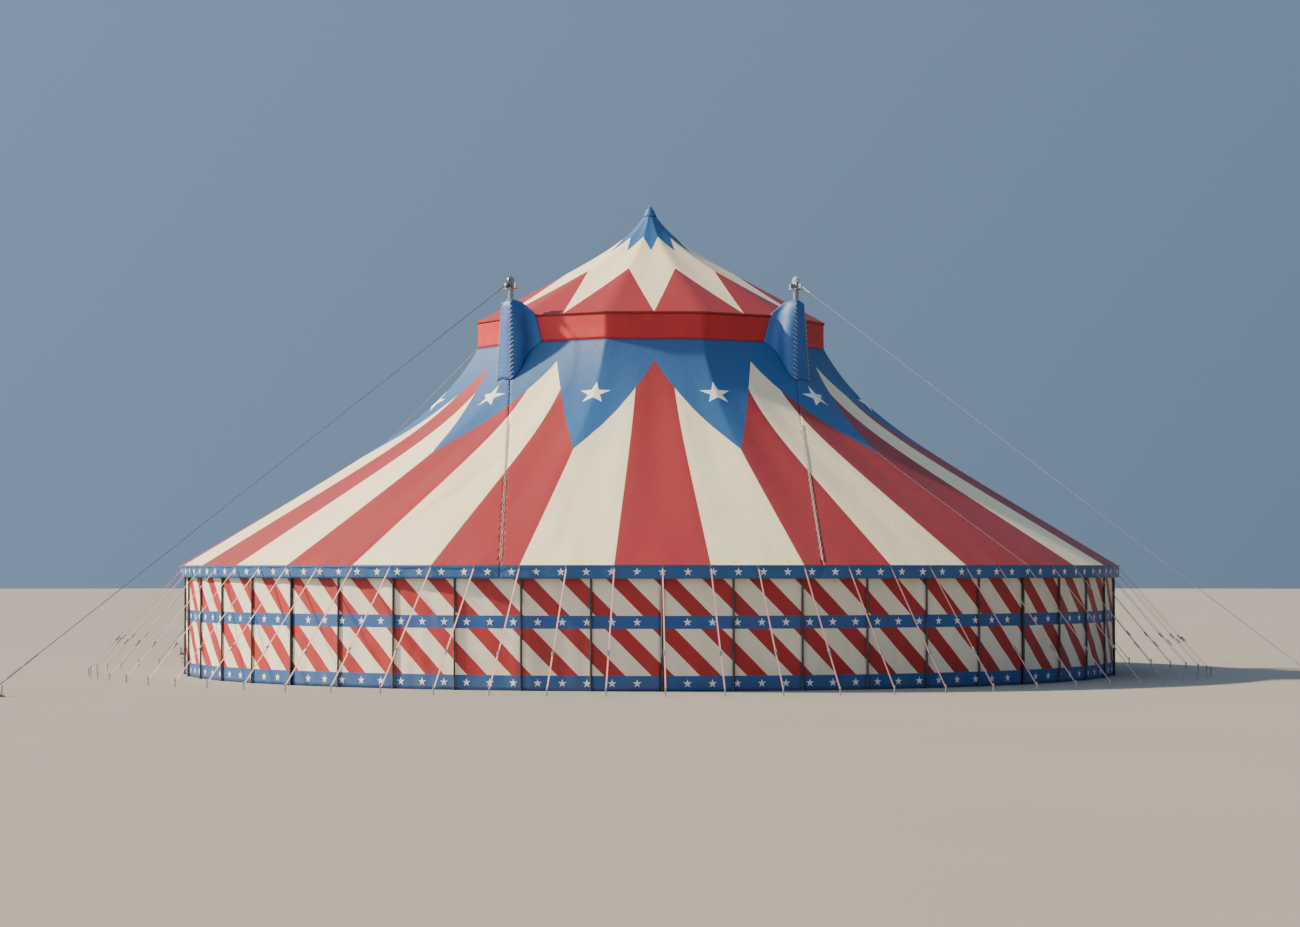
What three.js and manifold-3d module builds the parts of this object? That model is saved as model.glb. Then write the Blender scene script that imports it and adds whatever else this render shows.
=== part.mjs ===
import * as THREE from 'three';
import { ConvexGeometry } from 'three/addons/geometries/ConvexGeometry.js';
import { mergeVertices } from 'three/addons/utils/BufferGeometryUtils.js';
import Module from 'manifold-3d';

const wasm = await Module();
wasm.setup();

// Circus big top on four king poles. Millimetres, +Z up, the origin on the ground under the peak.
// Azimuths are in degrees from the front (-Y) towards the right (+X).

// Driving dimensions
const GAP = 0.3; // between pieces that touch
const EAVE_RADIUS = 16500; // at the corners where the guy straps pull
const EAVE_HEIGHT = 3800;
const EAVE_STEP = 5; // degrees between guy straps
const VALANCE_DROP = 410;
const CLOTH = 40; // canopy, hoods and cupola roof
const CANOPY_TOP = 11400;
const FLARE_RISE = 0.19; // share of the canopy's rise that is in the steep flare at the ring
const FLARE_RUN = 0.12; // how fast the flare dies out, as a share of the slope's run
const RING_RADIUS = 6300; // corners of the twelve-sided cupola band
const RING_STEP = 30; // degrees for each side of the ring
const RING_PHASE = 15; // azimuth of the first corner
const BAND_CLOTH = 30;
const CHORD = 80; // square section of the ring truss's chords
const BRACE = 50;
const CUPOLA_RISE = 3404; // of the straight part of the cupola roof
const CUPOLA_RUN = 6212;
const CUPOLA_FOOT = 12366; // height of the straight part at CUPOLA_RUN from the centre
const PEAK_RISE = 835; // the steep tip on top of the straight part
const PEAK_RUN = 679;
const ROOF_EDGE = 6330;
const BEAM_DROP = 20; // a tie beam's top below the ring's top chord
const RAFTER = 70; // depth; as wide as a brace
const RAFTER_DROP = 250; // at the centre post, below the roof's straight lines
const CENTRE_POST = 60;
const HUB_RADIUS = 200;
const POST_SIDES = 8;
const POST_TOP = 16480;
const PEAK = 16640;
const ROOF_HOLE = 130; // round the centre post
const CAP_SKIRT = 230; // where it sits on the roof
const CAP_SEAT = 110; // where it sits on the centre post
const CAP_RIM = 25;
const MAST_OFFSET = 4850; // each king pole from the centre, both ways
const MAST_RADIUS = 110;
const MAST_SIDES = 12;
const MAST_AZIMUTHS = [45, 135, 225, 315];
const MAST_ROOM = 40; // between a mast and the canopy's cut edge
const MAST_TOP = 13150;
const BASE_SIZE = 900;
const BASE_PLATE = 20;
const SOCKET_WALL = 30;
const SOCKET_HEIGHT = 300;
const RIB = 20;
const RIB_REACH = 160; // past the socket
const RIB_HEIGHT = 220;
const COLLAR_RADIUS = 170;
const COLLAR_HEIGHT = 140;
const COLLAR_TOP = 12140;
const ARM_WIDTH = 100;
const HOIST_RADIUS = 15;
const HOIST_OFFSET = 140;
const HOOD_TOP = 12800;
const HOOD_TOP_HALF = 200;
const HOOD_FOOT = 9600; // out of sight under the canopy's skin
const HOOD_LEAN = 100 / 2700; // the outward face leans out by this much of its drop
const HOOD_SPREAD = 180 / 2700; // and widens by this much on each side
const HOOD_EDGES = [ // the flaps' inner edges: outwards, sideways and up
  [6150, 500, 12340],
  [6070, 780, 11400],
  [6100, 600, HOOD_FOOT],
];
const WALL_RADIUS = 16300; // outer corners, at the side poles
const WALL_HEIGHT = 3700;
const WALL_CLOTH = 40;
const ENTRANCE_HALF = 7.5; // degrees on each side of the middle of the back
const POLE_STEP = 7.5; // degrees between side poles
const POLE_RADIUS = 40;
const POLE_SIDES = 6;
const CABLE = 24;
const CABLE_HEIGHT = 3740;
const STAKE_RADIUS = 19600; // circle of the guy straps' stakes
const STAKE = 60;
const STAKE_HEIGHT = 260;
const STRAP_WIDTH = 50;
const STRAP = 10;
const BELT = 15;
const BELT_HEIGHT = 100;
const BELT_TOP = 3750;
const ANCHOR_RADIUS = 27200; // main stays' anchors, along the diagonals
const ROPE_RADIUS = 12;

const RAD = Math.PI / 180;
const MAST_RADIAL = MAST_OFFSET * Math.SQRT2;
const RING_SIDES = 360 / RING_STEP;
const HALF_SIDE = (RING_STEP / 2) * RAD;
const GORES = 360 / EAVE_STEP;
const FAR = 40000; // past everything

const PVC_RED = { color: 0xb84a4a, roughness: 0.5, metalness: 0 };
const PVC_BLUE = { color: 0x3f6da3, roughness: 0.5, metalness: 0 };
const PVC_CREAM = { color: 0xe6dcc6, roughness: 0.5, metalness: 0 };
const PAINTED_STEEL = { color: 0x3a3d42, roughness: 0.5, metalness: 0.4 };
const GALVANISED = { color: 0x9a9fa4, roughness: 0.45, metalness: 0.8 };
const WEBBING = { color: 0xc23b3f, roughness: 0.8, metalness: 0 };

function signedVolume(position, index) {
  const [a, b, c] = [new THREE.Vector3(), new THREE.Vector3(), new THREE.Vector3()];
  let sum = 0;
  for (let i = 0; i < index.count; i += 3) {
    a.fromBufferAttribute(position, index.getX(i));
    b.fromBufferAttribute(position, index.getX(i + 1));
    c.fromBufferAttribute(position, index.getX(i + 2));
    sum += a.dot(b.cross(c)) / 6;
  }
  return sum;
}

// A closed geometry as a solid whose faces point outwards
function solid(geometry) {
  const bare = geometry.clone();
  bare.deleteAttribute('normal');
  bare.deleteAttribute('uv');
  const merged = mergeVertices(bare, 0.01);
  const triVerts = new Uint32Array(merged.index.array);
  if (signedVolume(merged.attributes.position, merged.index) < 0) {
    for (let i = 0; i < triVerts.length; i += 3) {
      [triVerts[i], triVerts[i + 1]] = [triVerts[i + 1], triVerts[i]];
    }
  }
  const vertProperties = new Float32Array(merged.attributes.position.array);
  return new wasm.Manifold(new wasm.Mesh({ numProp: 3, vertProperties, triVerts }));
}

function toGeometry(body) {
  const mesh = body.getMesh();
  const geometry = new THREE.BufferGeometry();
  geometry.setAttribute('position', new THREE.BufferAttribute(mesh.vertProperties, 3));
  geometry.setIndex(new THREE.BufferAttribute(mesh.triVerts, 1));
  return geometry;
}

const join = (bodies) => bodies.reduce((whole, body) => whole.add(body));

// A box between two corners
function block(low, high) {
  const [w, d, h] = high.map((value, i) => value - low[i]);
  const geometry = new THREE.BoxGeometry(w, d, h);
  return geometry.translate((low[0] + high[0]) / 2, (low[1] + high[1]) / 2, (low[2] + high[2]) / 2);
}

// An upright cylinder that stands at x, y
function post(x, y, radius, bottom, top, sides) {
  const geometry = new THREE.CylinderGeometry(radius, radius, top - bottom, sides);
  return geometry.rotateX(Math.PI / 2).translate(x, y, (bottom + top) / 2);
}

// Turns a piece laid along +Z so that it runs from one point to the other
function alongLine(geometry, from, to) {
  const start = new THREE.Vector3(...from);
  const end = new THREE.Vector3(...to);
  const turn = new THREE.Quaternion();
  turn.setFromUnitVectors(new THREE.Vector3(0, 0, 1), end.clone().sub(start).normalize());
  geometry.applyQuaternion(turn);
  const middle = start.add(end).multiplyScalar(0.5);
  return geometry.translate(middle.x, middle.y, middle.z);
}

const distance = (from, to) => Math.hypot(...from.map((value, i) => to[i] - value));

const bar = (from, to, depth, width) =>
  alongLine(new THREE.BoxGeometry(depth, width, distance(from, to)), from, to);

function rod(from, to, radius, sides) {
  const geometry = new THREE.CylinderGeometry(radius, radius, distance(from, to), sides);
  return alongLine(geometry.rotateX(Math.PI / 2), from, to);
}

// A profile of [radius, height] points turned about the tent's axis
function turned(profile, sides, phase = 0) {
  const points = profile.map(([r, z]) => new THREE.Vector2(r, z));
  return new THREE.LatheGeometry(points, sides, phase * RAD).rotateX(Math.PI / 2);
}

function hoop(inner, outer, bottom, top, sides, phase = 0) {
  const profile = [[inner, bottom], [outer, bottom], [outer, top], [inner, top], [inner, bottom]];
  return turned(profile, sides, phase);
}

// From the +X side to the given azimuth
const toAzimuth = (geometry, azimuth) => geometry.rotateZ((azimuth - 90) * RAD);

// The space between two azimuths, half a gap short of each
function wedge(from, to) {
  const half = ((to - from) / 2) * RAD;
  const apex = GAP / 2 / Math.sin(half);
  const shape = new THREE.Shape();
  shape.moveTo(apex, 0);
  shape.lineTo(apex + FAR * Math.cos(half), -FAR * Math.sin(half));
  shape.lineTo(apex + FAR * Math.cos(half), FAR * Math.sin(half));
  const geometry = new THREE.ExtrudeGeometry(shape, { depth: FAR, bevelEnabled: false });
  return toAzimuth(geometry, (from + to) / 2);
}

// Canopy

function canopyRise(t) {
  const straight = (1 - FLARE_RISE) * (1 - t);
  return EAVE_HEIGHT + (CANOPY_TOP - EAVE_HEIGHT) * (straight + FLARE_RISE * Math.exp(-t / FLARE_RUN));
}

function canopySlope(t) {
  const fall = 1 - FLARE_RISE + (FLARE_RISE / FLARE_RUN) * Math.exp(-t / FLARE_RUN);
  return ((CANOPY_TOP - EAVE_HEIGHT) * fall) / (EAVE_RADIUS - RING_RADIUS);
}

const canopyRadius = (t) => RING_RADIUS + t * (EAVE_RADIUS - RING_RADIUS);
const CANOPY_STEPS = [0, 0.04, 0.09, 0.17, 0.3, 0.6, 1];
const canopySkin = CANOPY_STEPS.map((t) => [canopyRadius(t), canopyRise(t)]);
const canopyLining = CANOPY_STEPS.slice(0, -1).map((t) => {
  const angle = Math.atan(canopySlope(t));
  return [canopyRadius(t) - CLOTH * Math.sin(angle), canopyRise(t) - CLOTH * Math.cos(angle)];
});
const eaveSlope = canopySlope(1);
const eaveDrop = CLOTH * Math.hypot(1, eaveSlope); // the cloth's thickness measured straight down
const liningHeight = (r) => EAVE_HEIGHT + eaveSlope * (EAVE_RADIUS - r) - eaveDrop;

// The canopy leaves a twelve-sided ring and becomes round towards the eave
function drawToRing(geometry) {
  const position = geometry.attributes.position;
  for (let i = 0; i < position.count; i += 1) {
    const [x, y] = [position.getX(i), position.getY(i)];
    const radius = Math.hypot(x, y);
    const azimuth = Math.atan2(x, -y) / RAD;
    const fromMiddle = (azimuth - RING_STEP * Math.round(azimuth / RING_STEP)) * RAD;
    const t = THREE.MathUtils.clamp((radius - RING_RADIUS) / (EAVE_RADIUS - RING_RADIUS), 0, 1);
    const flat = 1 - Math.cos(HALF_SIDE) / Math.cos(fromMiddle);
    const scale = 1 - (1 - t) ** 2 * flat;
    position.setXY(i, x * scale, y * scale);
  }
  return geometry;
}

function canopyShell() {
  const hem = EAVE_HEIGHT - VALANCE_DROP;
  const inner = EAVE_RADIUS - CLOTH;
  const valance = [[EAVE_RADIUS, hem], [inner, hem], [inner, liningHeight(inner)]];
  const profile = [...canopySkin, ...valance, ...canopyLining.toReversed(), canopySkin[0]];
  return solid(drawToRing(turned(profile, GORES)));
}

// Everything that lies under the canopy's outer face, with a gap
function underCanopy() {
  const skin = canopySkin.map(([r, z]) => [r, z + 2 * GAP]);
  const profile = [[0, skin[0][1]], ...skin, [EAVE_RADIUS, 0], [0, 0]];
  return solid(drawToRing(turned(profile, GORES)));
}

function mastHoles() {
  const half = MAST_RADIUS + MAST_ROOM;
  return MAST_AZIMUTHS.map((azimuth) =>
    solid(toAzimuth(block([MAST_RADIAL - half, -half, 0], [MAST_RADIAL + half, half, FAR]), azimuth)));
}

// The canopy is laced together along two lines that run past the king poles
function canopySections() {
  const whole = canopyShell().subtract(join(mastHoles()));
  const seam = MAST_OFFSET - GAP / 2;
  const cut = (low, high) => toGeometry(whole.intersect(solid(block(low, high))));
  return {
    canopy_front: cut([-seam, -FAR, 0], [seam, 0, FAR]),
    canopy_right: cut([MAST_OFFSET + GAP / 2, -FAR, 0], [FAR, FAR, FAR]),
    canopy_back: cut([-seam, 0, 0], [seam, FAR, FAR]),
    canopy_left: cut([-FAR, -FAR, 0], [-MAST_OFFSET - GAP / 2, FAR, FAR]),
  };
}

// Cupola

const bandInner = RING_RADIUS - BAND_CLOTH / Math.cos(HALF_SIDE);
const chordOuter = bandInner - 2 * GAP;
const chordInner = chordOuter - CHORD / Math.cos(HALF_SIDE);
const chordMiddle = (chordOuter + chordInner) / 2;
const bottomChord = CANOPY_TOP + CHORD / 4;

const roofSlope = CUPOLA_RISE / CUPOLA_RUN;
const roofHeight = (r) =>
  CUPOLA_FOOT + roofSlope * (CUPOLA_RUN - r) + PEAK_RISE * Math.exp(-r / PEAK_RUN);
const roofDrop = CLOTH * Math.hypot(1, roofSlope);
const bandTop = roofHeight(RING_RADIUS) - roofDrop - GAP;
const chordTop = roofHeight(chordOuter) - roofDrop - 2 * GAP;

const ROOF_STEPS = [ROOF_EDGE, 3600, 2000, 1200, 700, 350, CAP_SKIRT, ROOF_HOLE]; // closer to the peak

function cupolaRoof() {
  const skin = ROOF_STEPS.map((r) => [r, roofHeight(r)]);
  const lining = ROOF_STEPS.map((r) => [r, roofHeight(r) - roofDrop]).reverse();
  return toGeometry(solid(turned([...skin, ...lining, skin[0]], RING_SIDES, RING_PHASE)));
}

function underRoof() {
  const skin = ROOF_STEPS.map((r) => [r + GAP, roofHeight(r) + 2 * GAP]);
  const edge = roofHeight(ROOF_EDGE) - roofDrop - 2 * GAP;
  const profile = [[0, CANOPY_TOP], [ROOF_EDGE + GAP, CANOPY_TOP], [ROOF_EDGE + GAP, edge], ...skin];
  profile.push([0, skin.at(-1)[1]], profile[0]);
  return solid(turned(profile, RING_SIDES, RING_PHASE));
}

function cupolaBand() {
  let band = solid(hoop(bandInner, RING_RADIUS, CANOPY_TOP + GAP, bandTop, RING_SIDES, RING_PHASE));
  const half = ARM_WIDTH / 2 + GAP;
  for (const azimuth of MAST_AZIMUTHS) {
    const slot = block(
      [RING_RADIUS - 2 * ARM_WIDTH, -half, COLLAR_TOP - COLLAR_HEIGHT - GAP],
      [RING_RADIUS + 2 * ARM_WIDTH, half, COLLAR_TOP + GAP],
    );
    band = band.subtract(solid(toAzimuth(slot, azimuth)));
  }
  return toGeometry(band);
}

// A flat twelve-sided truss with a sliding collar for each king pole
function cupolaRing() {
  const topChord = chordTop - CHORD;
  const bodies = [
    solid(hoop(chordInner, chordOuter, bottomChord, bottomChord + CHORD, RING_SIDES, RING_PHASE)),
    solid(hoop(chordInner, chordOuter, topChord, chordTop, RING_SIDES, RING_PHASE)),
  ];
  const low = bottomChord + CHORD / 2;
  const high = topChord + CHORD / 2;
  const cornerAt = (azimuth, z) => {
    const r = azimuth % RING_STEP === 0 ? chordMiddle * Math.cos(HALF_SIDE) : chordMiddle;
    return [r * Math.sin(azimuth * RAD), -r * Math.cos(azimuth * RAD), z];
  };
  for (let azimuth = 0; azimuth < 360; azimuth += RING_STEP / 2) {
    const next = azimuth + RING_STEP / 2;
    if (azimuth % RING_STEP === RING_PHASE) {
      const upright = block([chordMiddle - CHORD / 2, -CHORD / 2, low], [chordMiddle, CHORD / 2, high]);
      bodies.push(solid(toAzimuth(upright, azimuth)));
    }
    const rises = (azimuth / (RING_STEP / 2)) % 2 === 0;
    const [from, to] = rises ? [low, high] : [high, low];
    bodies.push(solid(rod(cornerAt(azimuth, from), cornerAt(next, to), BRACE / 2, 4)));
  }
  const collarBottom = COLLAR_TOP - COLLAR_HEIGHT;
  for (const azimuth of MAST_AZIMUTHS) {
    const arm = block(
      [chordMiddle - CHORD / 4, -ARM_WIDTH / 2, collarBottom],
      [MAST_RADIAL - MAST_RADIUS, ARM_WIDTH / 2, COLLAR_TOP],
    );
    const collar = post(MAST_RADIAL, 0, COLLAR_RADIUS, collarBottom, COLLAR_TOP, MAST_SIDES);
    bodies.push(solid(toAzimuth(arm, azimuth)), solid(toAzimuth(collar, azimuth)));
  }
  const bores = MAST_AZIMUTHS.map((azimuth) =>
    solid(toAzimuth(mastBore(collarBottom - GAP, COLLAR_TOP + GAP), azimuth)));
  return toGeometry(join(bodies).subtract(join(bores)));
}

// Tie beams, a centre post and twelve rafters that carry the cupola roof
function cupolaFrame() {
  const top = chordTop - CHORD - BEAM_DROP;
  const reach = chordOuter + CHORD;
  const rafterHead = roofHeight(0) - PEAK_RISE - RAFTER_DROP;
  const bodies = [
    solid(post(0, 0, CENTRE_POST, top - CHORD, POST_TOP, POST_SIDES)),
    solid(post(0, 0, HUB_RADIUS, top - 2 * CHORD, top + CHORD, POST_SIDES)),
  ];
  for (let azimuth = RING_PHASE; azimuth < 360; azimuth += RING_STEP) {
    const rafter = bar([0, 0, rafterHead], [reach, 0, top - CHORD / 2], RAFTER, BRACE);
    bodies.push(solid(toAzimuth(rafter, azimuth)));
    if (MAST_AZIMUTHS.includes(azimuth)) {
      const beam = block([0, -CHORD / 2, top - CHORD], [reach, CHORD / 2, top]);
      bodies.push(solid(toAzimuth(beam, azimuth)));
    }
  }
  const inside = chordInner - 2 * GAP;
  const room = [[0, CANOPY_TOP], [inside, CANOPY_TOP], [inside, FAR], [0, FAR]];
  return toGeometry(join(bodies).intersect(solid(turned(room, RING_SIDES, RING_PHASE))));
}

// A spun cone with a skirt over the roof's cloth
function peakCap() {
  const seat = POST_TOP + GAP;
  const crown = seat + CAP_RIM * 2;
  const profile = [
    [0, seat],
    [CAP_SEAT, seat],
    [CAP_SKIRT, roofHeight(CAP_SKIRT) + 2 * GAP],
    [CAP_SKIRT, roofHeight(CAP_SKIRT) + CAP_RIM],
    [CAP_SEAT - CAP_RIM, crown],
    [CAP_RIM, PEAK - 2 * CAP_RIM],
    [0, PEAK],
  ];
  return toGeometry(solid(turned(profile, RING_SIDES, RING_PHASE)));
}

// King poles, each made at azimuth 90 and then turned to the front right corner

const toCorner = (body) => toGeometry(body).rotateZ(-45 * RAD);

const mastBore = (bottom, top) =>
  post(MAST_RADIAL, 0, MAST_RADIUS + GAP / Math.cos(Math.PI / MAST_SIDES), bottom, top, MAST_SIDES);

function kingPole() {
  return toCorner(solid(post(MAST_RADIAL, 0, MAST_RADIUS, BASE_PLATE + GAP, MAST_TOP, MAST_SIDES)));
}

function mastBase() {
  const half = BASE_SIZE / 2;
  const socket = MAST_RADIUS + SOCKET_WALL;
  const reach = socket + RIB_REACH;
  const x = MAST_RADIAL;
  const bodies = [
    solid(block([x - half, -half, 0], [x + half, half, BASE_PLATE])),
    solid(post(x, 0, socket, 0, SOCKET_HEIGHT, MAST_SIDES)),
    solid(block([x - reach, -RIB / 2, 0], [x + reach, RIB / 2, RIB_HEIGHT])),
    solid(block([x - RIB / 2, -reach, 0], [x + RIB / 2, reach, RIB_HEIGHT])),
  ];
  return toCorner(join(bodies).subtract(solid(mastBore(BASE_PLATE, FAR))));
}

// The head's plates and sheave, measured from the mast's axis and its top
const CAP_PLATE = { half: 170, thick: 30 };
const EAR = { reach: 260, half: 12, bottom: MAST_TOP + 20, top: MAST_TOP + 190 };
const CHEEK = { half: 90, inner: 40, outer: 60, top: MAST_TOP + 400 };
const SHEAVE = { radius: 120, width: 50, height: MAST_TOP + 300, sides: 12 };
const PIN = { radius: 18, length: 150, sides: 6 };

// Cap plate with four ears, the sheave of the hoist and the two hoist rods down to the collar
function mastHead() {
  const seat = MAST_TOP + GAP;
  const x = MAST_RADIAL;
  const { half: cap, thick } = CAP_PLATE;
  const { reach, half, bottom, top } = EAR;
  const wheel = ({ radius, width, length, sides }) =>
    new THREE.CylinderGeometry(radius, radius, width ?? length, sides).translate(x, 0, SHEAVE.height);
  const bodies = [
    solid(block([x - cap, -cap, seat], [x + cap, cap, seat + thick])),
    solid(block([x - reach, -half, bottom], [x + reach, half, top])),
    solid(block([x - half, -reach, bottom], [x + half, reach, top])),
    solid(block([x - CHEEK.half, -CHEEK.outer, bottom], [x + CHEEK.half, -CHEEK.inner, CHEEK.top])),
    solid(block([x - CHEEK.half, CHEEK.inner, bottom], [x + CHEEK.half, CHEEK.outer, CHEEK.top])),
    solid(wheel(SHEAVE)),
    solid(wheel(PIN)),
    solid(post(x, HOIST_OFFSET, HOIST_RADIUS, COLLAR_TOP + GAP, seat + thick / 3, 4)),
    solid(post(x, -HOIST_OFFSET, HOIST_RADIUS, COLLAR_TOP + GAP, seat + thick / 3, 4)),
  ];
  return toCorner(join(bodies));
}

// Hood of cloth from the mast top down to the canopy, drawn in round the ring's corner.
// The inner hull is smaller all round, and passes through the hood's open top and foot.
function hoodHull(inset) {
  const drop = HOOD_TOP - HOOD_FOOT;
  const outer = [
    [MAST_RADIAL + HOOD_TOP_HALF - inset, HOOD_TOP_HALF, HOOD_TOP + inset],
    [MAST_RADIAL + HOOD_TOP_HALF + HOOD_LEAN * drop - inset, HOOD_TOP_HALF + HOOD_SPREAD * drop, HOOD_FOOT],
  ];
  const [upper, ...lower] = HOOD_EDGES.map(([u, v, z]) => [u + inset / 2, v, z]);
  const inner = [
    [MAST_RADIAL - HOOD_TOP_HALF + inset / 2, HOOD_TOP_HALF, HOOD_TOP + inset],
    [upper[0], upper[1], upper[2] - 1.2 * inset],
    ...lower,
  ];
  const points = [...outer, ...inner].flatMap(([u, v, z]) => [
    new THREE.Vector3(u, v - inset, z),
    new THREE.Vector3(u, inset - v, z),
  ]);
  return solid(new ConvexGeometry(points).rotateZ(-45 * RAD));
}

function mastHood() {
  const ringSpace = hoop(0, RING_RADIUS + 2 * GAP, 0, bandTop + GAP, RING_SIDES, RING_PHASE);
  const shell = hoodHull(0).subtract(hoodHull(CLOTH));
  return toGeometry(
    shell.subtract(solid(ringSpace)).subtract(underRoof()).subtract(underCanopy()),
  );
}

const STAY = { drop: 120, foot: 200, splice: 0.02, buckle: [0.945, 0.985] }; // the last two as shares
const SPLICE_RADIUS = 30;
const BUCKLE_RADIUS = 36;
const ANCHOR = { inner: 300, outer: 250, half: 150, thick: 40 };
const LUG = { inner: 120, outer: 60, half: 15, height: 260 };
const ANCHOR_STAKE = { size: 50, step: 90, start: 40, height: 350 };
const ROPE_SIDES = 6;
const FITTING_SIDES = 8;

// Steel rope from the mast head to a staked plate on the ground
function mainStay() {
  const top = [MAST_RADIAL + EAR.reach - SOCKET_WALL, 0, MAST_TOP + STAY.drop];
  const bottom = [ANCHOR_RADIUS, 0, STAY.foot];
  const x = ANCHOR_RADIUS;
  const point = (share) => top.map((value, i) => value + (bottom[i] - value) * share);
  const { size, step, start, height } = ANCHOR_STAKE;
  const stakes = [-step, 0, step].map((way) =>
    solid(block([x + way + start, way - size / 2, 0], [x + way + start + size, way + size / 2, height])));
  const bodies = [
    solid(rod(top, bottom, ROPE_RADIUS, ROPE_SIDES)),
    solid(rod(top, point(STAY.splice), SPLICE_RADIUS, FITTING_SIDES)),
    solid(rod(point(STAY.buckle[0]), point(STAY.buckle[1]), BUCKLE_RADIUS, FITTING_SIDES)),
    solid(block([x - ANCHOR.inner, -ANCHOR.half, 0], [x + ANCHOR.outer, ANCHOR.half, ANCHOR.thick])),
    solid(block([x - LUG.inner, -LUG.half, 0], [x + LUG.outer, LUG.half, LUG.height])),
    ...stakes,
  ];
  const ear = block(
    [MAST_RADIAL - EAR.reach, -EAR.half - GAP, EAR.bottom - GAP],
    [MAST_RADIAL + EAR.reach + GAP, EAR.half + GAP, EAR.top + GAP],
  );
  return toCorner(join(bodies).subtract(solid(ear)));
}

// Sidewall

// The curtain wall between two azimuths
function wallPanel(from, to) {
  const curtain = hoop(WALL_RADIUS - WALL_CLOTH, WALL_RADIUS, 0, WALL_HEIGHT, 360 / POLE_STEP);
  return toGeometry(solid(curtain).intersect(solid(wedge(from, to))));
}

// A quarter of the side poles, joined by the cable that runs through their heads.
// The entrance has no pole in its middle.
function sidePoles(hasEntrance) {
  const apothem = POLE_RADIUS * Math.cos(Math.PI / POLE_SIDES);
  const ring = WALL_RADIUS + GAP + apothem;
  const cable = hoop(ring - CABLE / 2, ring + CABLE / 2, CABLE_HEIGHT, CABLE_HEIGHT + CABLE, 360 / POLE_STEP);
  const bodies = [solid(cable).intersect(solid(wedge(-45 - POLE_STEP / 2, 45 - POLE_STEP / 2)))];
  for (let azimuth = -45; azimuth < 45; azimuth += POLE_STEP) {
    if (hasEntrance && azimuth === 0) continue;
    const fromCorner = (azimuth - EAVE_STEP * Math.round(azimuth / EAVE_STEP)) * RAD;
    const flat = Math.cos((EAVE_STEP / 2) * RAD - Math.abs(fromCorner)) / Math.cos((EAVE_STEP / 2) * RAD);
    const top = liningHeight((ring + apothem) * flat) - 4 * GAP;
    bodies.push(solid(toAzimuth(post(ring, 0, POLE_RADIUS, 0, top, POLE_SIDES), azimuth)));
  }
  return toGeometry(join(bodies));
}

// A quarter of the guy straps, each from the eave belt to its stake, and none over the entrance
function guyStraps(hasEntrance) {
  const inner = EAVE_RADIUS + 2 * GAP;
  const belt = hoop(inner, inner + BELT, BELT_TOP - BELT_HEIGHT, BELT_TOP, GORES);
  const edge = EAVE_STEP / 2;
  const bodies = [solid(belt).intersect(solid(wedge(-45 - edge, 45 - edge)))];
  for (let azimuth = -45; azimuth < 45; azimuth += EAVE_STEP) {
    if (hasEntrance && azimuth === 0) continue;
    const from = [inner + BELT - STRAP / 4, 0, BELT_TOP - BELT_HEIGHT / 2];
    const to = [STAKE_RADIUS, 0, STAKE_HEIGHT - STAKE];
    bodies.push(solid(toAzimuth(bar(from, to, STRAP, STRAP_WIDTH), azimuth)));
    const stake = block(
      [STAKE_RADIUS - STAKE / 2, -STAKE / 2, 0],
      [STAKE_RADIUS + STAKE / 2, STAKE / 2, STAKE_HEIGHT],
    );
    bodies.push(solid(toAzimuth(stake, azimuth)));
  }
  const whole = join(bodies);
  const tent = hoop(0, EAVE_RADIUS + GAP, 0, EAVE_HEIGHT, GORES);
  return toGeometry(whole.subtract(solid(tent)));
}

// Assembly

const tent = new THREE.Group();

function add(name, geometry, finish, turn = 0) {
  const mesh = new THREE.Mesh(geometry, new THREE.MeshStandardMaterial(finish));
  mesh.name = name;
  mesh.rotation.z = turn * RAD;
  tent.add(mesh);
}

const CORNERS = ['front_right', 'back_right', 'back_left', 'front_left'];
const SIDES = ['front', 'right', 'back', 'left'];
const EIGHTHS = [
  'front_right', 'right_front', 'right_back', 'back_right',
  'back_left', 'left_back', 'left_front', 'front_left',
];

for (const [name, geometry] of Object.entries(canopySections())) add(name, geometry, PVC_RED);
add('cupola_ring', cupolaRing(), GALVANISED);
add('cupola_frame', cupolaFrame(), GALVANISED);
add('cupola_band', cupolaBand(), PVC_RED);
add('cupola_roof', cupolaRoof(), PVC_CREAM);
add('peak_cap', peakCap(), PAINTED_STEEL);

const cornerPieces = {
  king_pole: [kingPole(), GALVANISED],
  mast_base: [mastBase(), PAINTED_STEEL],
  mast_head: [mastHead(), GALVANISED],
  mast_hood: [mastHood(), PVC_BLUE],
  main_stay: [mainStay(), GALVANISED],
};
for (const [name, [geometry, finish]] of Object.entries(cornerPieces)) {
  CORNERS.forEach((corner, i) => add(`${name}_${corner}`, geometry, finish, 90 * i));
}

const poles = sidePoles(false);
const straps = guyStraps(false);
const entrancePoles = sidePoles(true);
const entranceStraps = guyStraps(true);
SIDES.forEach((side, i) => {
  const atBack = side === 'back';
  add(`side_poles_${side}`, atBack ? entrancePoles : poles, PAINTED_STEEL, 90 * i);
  add(`guy_straps_${side}`, atBack ? entranceStraps : straps, WEBBING, 90 * i);
});

const panel = wallPanel(0, 45);
const byEntrance = { back_right: wallPanel(0, 45 - ENTRANCE_HALF), back_left: wallPanel(ENTRANCE_HALF, 45) };
EIGHTHS.forEach((part, i) => add(`wall_${part}`, byEntrance[part] ?? panel, PVC_CREAM, 45 * i));

export default tent;
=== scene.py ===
import math
from functools import partial

import bmesh
import bpy
import numpy as np
from mathutils import Matrix, Vector


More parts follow.
